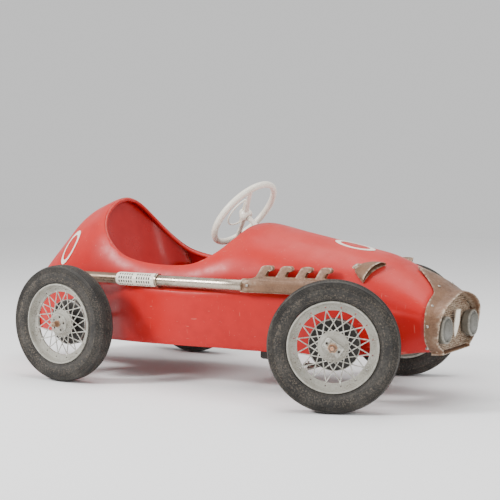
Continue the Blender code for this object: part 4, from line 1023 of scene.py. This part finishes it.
def wheel_mesh():
    """Rim with drilled holes, crossed spokes with nipples, and the hub."""
    rim = [(0.0915, -0.0160), (0.0955, -0.0165), (0.0963, -0.0158), (0.0963, 0.0205), (0.0957, 0.0214),
           (0.0945, 0.0219), (0.0932, 0.0217), (0.0924, 0.0208), (0.0912, 0.0160), (0.0896, 0.0108),
           (0.0880, 0.0086), (0.0860, 0.0078), (0.0790, 0.0068), (0.0772, 0.0064), (0.0762, 0.0054),
           (0.0762, 0.0012), (0.0770, 0.0004), (0.0915, 0.0002)]
    spokes, hub_edge, rim_edge, hole_circle = 16, 0.0320, 0.0772, 0.0832
    pitch = 2 * math.pi / spokes
    holes = []
    for i in range(spokes):
        a = 2 * math.pi * (i + 0.5) / spokes
        place = Matrix.Translation((hole_circle * math.cos(a), 0, hole_circle * math.sin(a)))
        holes.append(moved_data(rod_data(0.0016, -0.004, 0.012, 12), place))
    rim_mesh = drilled(mesh_of(*lathe_data(rim, 128)), holes)
    parts = [([v.co.copy() for v in rim_mesh.vertices], [tuple(p.vertices) for p in rim_mesh.polygons])]
    for i in range(spokes):
        for lean in (-1, 1):
            start = i * pitch
            end = start + lean * 1.5 * pitch
            depth = 0.0042 if lean > 0 else 0.0028
            path = []
            for k in range(5):
                t = k / 4
                inner = Vector((hub_edge * math.cos(start), 0, hub_edge * math.sin(start)))
                outer = Vector((rim_edge * math.cos(end), 0, rim_edge * math.sin(end)))
                path.append(inner.lerp(outer, t) + Vector((0, depth + 0.0022 * (1 - t), 0)))
            parts.append(tube_data(path, 0.00125, 8, side=Vector((0, 1, 0))))
            nipple = lathe_data([(AXIS, 0), (0.0025, 0.0002), (0.0021, 0.0034), (AXIS, 0.0040)], 10)
            parts.append(moved_data(nipple, Matrix.Translation(path[-1] + Vector((0, -0.0010, 0)))))
    boss = [(0.0061, -0.0120), (0.0180, -0.0120), (0.0260, -0.0060), (0.0326, 0.0002), (0.0332, 0.0016),
            (0.0332, 0.0072), (0.0322, 0.0086), (0.0300, 0.0092), (0.0285, 0.0100), (0.0262, 0.0122),
            (0.0240, 0.0128), (0.0200, 0.0124), (0.0160, 0.0118), (0.0061, 0.0118)]
    parts.append(lathe_data(boss, 64))
    return gathered(parts)


def drum_mesh():
    profile = [(0.0090, -0.0478), (0.0490, -0.0478), (0.0530, -0.0466)]
    for i in range(5):
        y = -0.0440 + 0.0046 * i
        profile += [(0.0545, y), (0.0545, y + 0.0026), (0.0520, y + 0.0030), (0.0520, y + 0.0042)]
    profile += [(0.0545, -0.0205), (0.0540, -0.0185), (0.0515, -0.0164), (0.0480, -0.0156), (0.0300, -0.0152),
                (0.0090, -0.0152)]
    return mesh_of(*lathe_data(profile, 96))


def hub_parts(end):
    """Hub fittings: (name, mesh, finish) for one wheel."""
    if end == "front":
        block = block_data((-0.021, -0.012, 0.0), (0.021, 0.012, 0.0075), 0.0035)
        twist = Matrix.Rotation(math.radians(-35), 4, "Y")
        hole_offset = 0.0155
        stand = twist @ Matrix.Translation((0, 0.0118, 0)) @ Matrix.Rotation(-math.pi / 2, 4, "X")
        drills, hole_shades = [], []
        for side in (-1, 1):
            at = twist @ Matrix.Translation((side * hole_offset, 0.009, 0))
            drills.append(moved_data(rod_data(0.0026, 0.004, 0.030, 16), at))
            # Dark discs behind the holes: painted shade.
            hole_shades.append(moved_data(rod_data(0.0028, 0.0042, 0.0088, 16), at))
        plate_mesh = drilled(mesh_of(*moved_data(block, stand)), drills)
        rings = []
        for scale, y in ((0.95, 0.0195), (1.0, 0.0205), (1.0, 0.0262), (0.9, 0.0275), (0.62, 0.0280)):
            r = 0.0115 * scale
            rings.append([Vector((r * math.cos(a), y, r * math.sin(a))) for a in circle(6)])
        tip = lathe_data([(AXIS, 0.0275), (0.0062, 0.0275), (0.0062, 0.0330), (0.0052, 0.0362),
                          (0.0034, 0.0378), (AXIS, 0.0382)], 28)
        return [("hub_block", plate_mesh, "wheel"), ("hub_nut", loft(rings), "rust"),
                ("hub_tip", mesh_of(*tip), "copper"), ("hub_holes", gathered(hole_shades), "dark")]
    cap = lathe_data([(AXIS, 0.0120), (0.0236, 0.0120), (0.0236, 0.0150), (0.0226, 0.0166), (0.0205, 0.0174),
                      (0.0195, 0.0170), (0.0150, 0.0172), (0.0100, 0.0196), (0.0092, 0.0200),
                      (AXIS, 0.0200)], 56)
    drills, hole_shades = [], []
    hole_circle = 0.0162
    for i in range(5):
        a = 2 * math.pi / 5 * i + math.radians(30)
        at = Matrix.Translation((hole_circle * math.cos(a), 0.009, hole_circle * math.sin(a)))
        drills.append(moved_data(rod_data(0.0027, 0.006, 0.030, 16), at))
        # Dark discs behind the holes: painted shade.
        hole_shades.append(moved_data(rod_data(0.0029, 0.0045, 0.0066, 16), at))
    plate_mesh = drilled(mesh_of(*cap), drills)
    tip = lathe_data([(AXIS, 0.0195), (0.0085, 0.0195), (0.0085, 0.0225), (0.0066, 0.0238), (0.0062, 0.0360),
                      (0.0050, 0.0376), (AXIS, 0.0378)], 28)
    return [("hub_cap", plate_mesh, "wheel"), ("axle_end", mesh_of(*tip), "rust"),
            ("hub_holes", gathered(hole_shades), "dark")]


def wheels():
    """The four wheels, each placed on its own joint's axis."""
    shared = {"tyre": (tyre_mesh(), "tyre", "tyre"), "wheel": (wheel_mesh(), "wheel", "wheel_grey"),
              "drum": (drum_mesh(), "drum", "drum_black")}
    edge = lathe_data([(0.0530, -0.0162), (0.0548, -0.0170), (0.0550, -0.0190), (0.0546, -0.0200),
                       (0.0530, -0.0180)], 96)
    edge_mesh = mesh_of(*edge)
    spin_joints = {"left": JOINTS["front_left_spin"], "right": JOINTS["front_right_spin"]}
    for end in ("front", "rear"):
        fittings = hub_parts(end)
        for word, side in (("left", 1), ("right", -1)):
            if end == "front":
                joint = spin_joints[word]
                turn = Vector((0, 1, 0)).rotation_difference(Vector(joint["axis"])).to_matrix().to_4x4()
                centre = Vector(joint["pos_m"])
                body = f"front_wheel_{word}"
            else:
                turn = Matrix.Identity(4)
                centre = Vector((REAR_AXLE_X, side * REAR_WHEEL_Y, AXLE_Z))
                body = "rear_axle" if side > 0 else "rear_wheel_right"
            flip = Matrix.Identity(4) if side > 0 else Matrix.Rotation(math.pi, 4, "Z")
            place = Matrix.Translation(centre) @ turn @ flip
            for kind, (mesh, finish, slot) in shared.items():
                made = piece(f"{end}_{kind}_skin_{word}", mesh, finish, 32)
                made.matrix_world = place
                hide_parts(f"{end}_{kind}_{word}")
                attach(made, body)
            made = piece(f"{end}_drum_edge_{word}", edge_mesh, "wheel", 32)
            made.matrix_world = place
            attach(made, body)
            for name, mesh, finish in fittings:
                made = piece(f"{end}_{name}_{word}", mesh, finish, 32)
                made.matrix_world = place
                if name in ("hub_block", "hub_cap"):
                    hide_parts(f"{end}_hub_nut_{word}")
                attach(made, body)


# Steering


def steering():
    """The steering wheel and its half ring, turned as far as the front wheels are at rest."""
    rest = JOINTS["front_left_spin"]["axis"]
    rest_angle = math.atan2(-rest[0], rest[1])
    right = Vector((0, -1, 0))
    basis = Matrix((right.cross(COLUMN_UP), right, COLUMN_UP)).transposed().to_4x4()
    place = Matrix.Translation(COLUMN_FOOT) @ basis @ Matrix.Rotation(rest_angle, 4, "Z")
    hub_x, hub_z = REAR_AXLE_X + 0.349, 0.400
    length = (Vector((hub_x, 0, hub_z)) - COLUMN_FOOT).length
    radius, grip_across, grip_up = 0.093, 0.0076, 0.0080
    half_ring_radius, wire = 0.0440, 0.0021
    rings = []
    for a in circle(96):
        outward = Vector((math.cos(a), math.sin(a), 0))
        centre = outward * radius + Vector((0, 0, length + 0.004))
        rings.append([centre + outward * grip_across * math.cos(b) + Vector((0, 0, grip_up * math.sin(b)))
                      for b in circle(16)])
    parts = [loft_data(rings, closed=True)]
    for angle in (123, 303):
        a = math.radians(angle)
        path, radii = [], []
        for k in range(13):
            t = k / 12
            r = 0.006 + (radius - 0.008) * t
            path.append(Vector((r * math.cos(a), r * math.sin(a), length + 0.0045 * t)))
            radii.append(0.0085 - 0.0020 * math.sin(math.pi * t))
        parts.append(tube_data(path, radii, 12, flat=0.72))
    hub = [(AXIS, -0.0110), (0.0120, -0.0110), (0.0150, -0.0080), (0.0160, -0.0020), (0.0158, 0.0020),
           (0.0140, 0.0065), (0.0100, 0.0088), (AXIS, 0.0092)]
    up = Matrix.Translation((0, 0, length)) @ Matrix.Rotation(math.pi / 2, 4, "X")
    parts.append(moved_data(lathe_data(hub, 40), up))
    wheel = piece("steering_wheel_skin", mesh_of(*moved_data(join_data(parts), place)), "cream")
    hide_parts("steering_wheel")
    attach(wheel, "steering")
    path = []
    for i in range(41):
        a = math.radians(33 - 92 + 184 * i / 40)
        across, up_the_wheel = half_ring_radius * math.cos(a), half_ring_radius * math.sin(a)
        path.append(Vector((across, up_the_wheel, length + 0.0122)))
    parts = [tube_data(path, wire, 10)]
    middle = Vector((0, 0, length + 0.0125))
    for end in (path[0], path[-1]):
        parts.append(tube_data([end, end.lerp(middle, 0.5), middle], wire, 10))
    button = [(AXIS, 0.0093), (0.0098, 0.0093), (0.0092, 0.0130), (0.0070, 0.0152), (AXIS, 0.0158)]
    parts.append(moved_data(lathe_data(button, 32), up))
    ring = piece("horn_half_ring", mesh_of(*moved_data(join_data(parts), place)), "cream")
    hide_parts("horn_ring")
    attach(ring, "steering")


def pedals():
    """Ribbed rubber blocks."""
    for word in ("left", "right"):
        low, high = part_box(f"pedal_{word}")
        parts = [block_data(tuple(low), tuple(high), 0.0035)]
        for top in (high.z - 0.0006, low.z - 0.0006):
            for i in range(5):
                x = low.x + 0.007 + (high.x - low.x - 0.014) * i / 4
                rib_low = (x - 0.0022, low.y + 0.004, top)
                rib_high = (x + 0.0022, high.y - 0.004, top + 0.0012)
                parts.append(block_data(rib_low, rib_high, 0.0005))
        made = piece(f"pedal_block_{word}", gathered(parts), "rubber")
        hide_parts(f"pedal_{word}")
        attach(made, f"pedal_{word}")


def chain():
    """Roller chain: a pin and two side plates at every pitch round both gears."""
    pitch, sprocket_teeth, chainring_teeth, plate_radius = 0.0127, 11, 24, 0.0020
    small, large = (teeth * pitch / (2 * math.pi) for teeth in (sprocket_teeth, chainring_teeth))
    rear = Vector((REAR_AXLE_X, 0, AXLE_Z))
    reach = CRANK - rear
    distance = reach.length
    tilt = math.atan2(reach.z, reach.x)
    lean = math.asin((large - small) / distance)
    y = sum(c.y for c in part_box("drive_chain")) / 2
    route = []
    for centre, radius, start, end in ((rear, small, tilt + math.pi / 2 + lean, tilt + 1.5 * math.pi - lean),
                                       (CRANK, large, tilt - math.pi / 2 - lean, tilt + math.pi / 2 + lean)):
        for i in range(41):
            a = start + (end - start) * i / 40
            r = radius + 0.0032
            route.append(Vector((centre.x + r * math.cos(a), y, centre.z + r * math.sin(a))))
    route.append(route[0])
    lengths = [0.0]
    for first, second in zip(route, route[1:]):
        lengths.append(lengths[-1] + (second - first).length)
    count = 2 * round(lengths[-1] / pitch / 2)

    def at(s):
        s %= lengths[-1]
        i = max(k for k in range(len(route) - 1) if lengths[k] <= s + 1e-12)
        return route[i].lerp(route[i + 1], (s - lengths[i]) / max(lengths[i + 1] - lengths[i], 1e-9))

    pins = [at(lengths[-1] * i / count) for i in range(count)]
    parts = []
    for i, pin in enumerate(pins):
        parts.append(moved_data(rod_data(0.0011, -0.0039, 0.0039, 8), Matrix.Translation(pin)))
        after = pins[(i + 1) % count]
        along = (after - pin).normalized()
        across = Vector((-along.z, 0, along.x))
        for side in (-1, 1):
            low = side * (0.0022 if i % 2 else 0.0031)
            rings = []
            for offset in (low, low + side * 0.0007):
                ring = []
                for centre, base in ((pin, math.pi / 2), (after, -math.pi / 2)):
                    for k in range(5):
                        a = base + math.pi * k / 4
                        ring.append(centre + along * (plate_radius * math.cos(a))
                                    + across * (plate_radius * math.sin(a)) + Vector((0, offset, 0)))
                rings.append(ring)
            parts.append(loft_data(rings))
    made = piece("roller_chain", gathered(parts), "steel")
    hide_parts("drive_chain")
    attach(made, "chassis")


def dress_frame():
    """Finishes of the frame's own nodes that stay in view."""
    finishes = {"steering_column": "cream", "rear_axle": "rust", "crankset": "bright", "tie_rod": "bright",
                "kingpin_left": "bright", "kingpin_right": "bright"}
    for name, node in frame["nodes"].items():
        if not node.hide_render:
            node.data.materials.clear()
            node.data.materials.append(FINISH[finishes.get(name, "steel")])


# Studio


def studio():
    """A plain pale floor, soft white surroundings and three soft lights."""
    floor_mesh = mesh_of([(-6, -6, 0), (6, -6, 0), (6, 6, 0), (-6, 6, 0)], [(0, 1, 2, 3)])
    floor = link(bpy.data.objects.new("floor", floor_mesh))
    pale = bpy.data.materials.new("pale_floor")
    pale.use_nodes = True
    shader = pale.node_tree.nodes["Principled BSDF"]
    shader.inputs["Base Color"].default_value = (0.95, 0.95, 0.95, 1)
    shader.inputs["Roughness"].default_value = 0.85
    floor_mesh.materials.append(pale)
    world = bpy.data.worlds.new("studio")
    world.use_nodes = True
    world.node_tree.nodes["Background"].inputs["Color"].default_value = (1.0, 1.0, 1.0, 1)
    world.node_tree.nodes["Background"].inputs["Strength"].default_value = 0.80
    bpy.context.scene.world = world
    for name, place, aim, size, power in (
        ("key", (-1.7, -2.5, 2.0), (0.0, 0.0, 0.2), 0.6, 118.0),
        ("top", (0.2, 0.1, 2.8), (0.0, 0.0, 0.2), 2.2, 60.0),
        ("front", (2.8, -0.9, 1.4), (0.3, 0.0, 0.2), 1.2, 30.0),
    ):
        light = bpy.data.lights.new(name, "AREA")
        light.energy = power
        light.size = size
        lamp = link(bpy.data.objects.new(name, light))
        lamp.location = place
        lamp.rotation_euler = (Vector(aim) - Vector(place)).to_track_quat("-Z", "Y").to_euler()


def camera():
    """Low, from the car's right and in front."""
    data = bpy.data.cameras.new("camera")
    data.lens = 80.9
    data.sensor_width = 36.0
    made = link(bpy.data.objects.new("camera", data))
    made.location = (1.5367, -2.2903, 0.4971)
    yaw, pitch = 2.142, 0.0672
    forward = Vector((math.cos(yaw) * math.cos(pitch), math.sin(yaw) * math.cos(pitch), -math.sin(pitch)))
    made.rotation_euler = forward.to_track_quat("-Z", "Y").to_euler()
    bpy.context.scene.camera = made


body_shell()
rim_roll()
cockpit_liner()
nose_cowl()
grille()
badge()
for lamp_side in (-1, 1):
    headlamp(lamp_side)
    air_scoop(lamp_side)
exhaust_pipe()
exhaust_sleeve()
manifold()
tail_cap()
screws()
race_marks()
wheels()
steering()
pedals()
chain()
dress_frame()
studio()
camera()
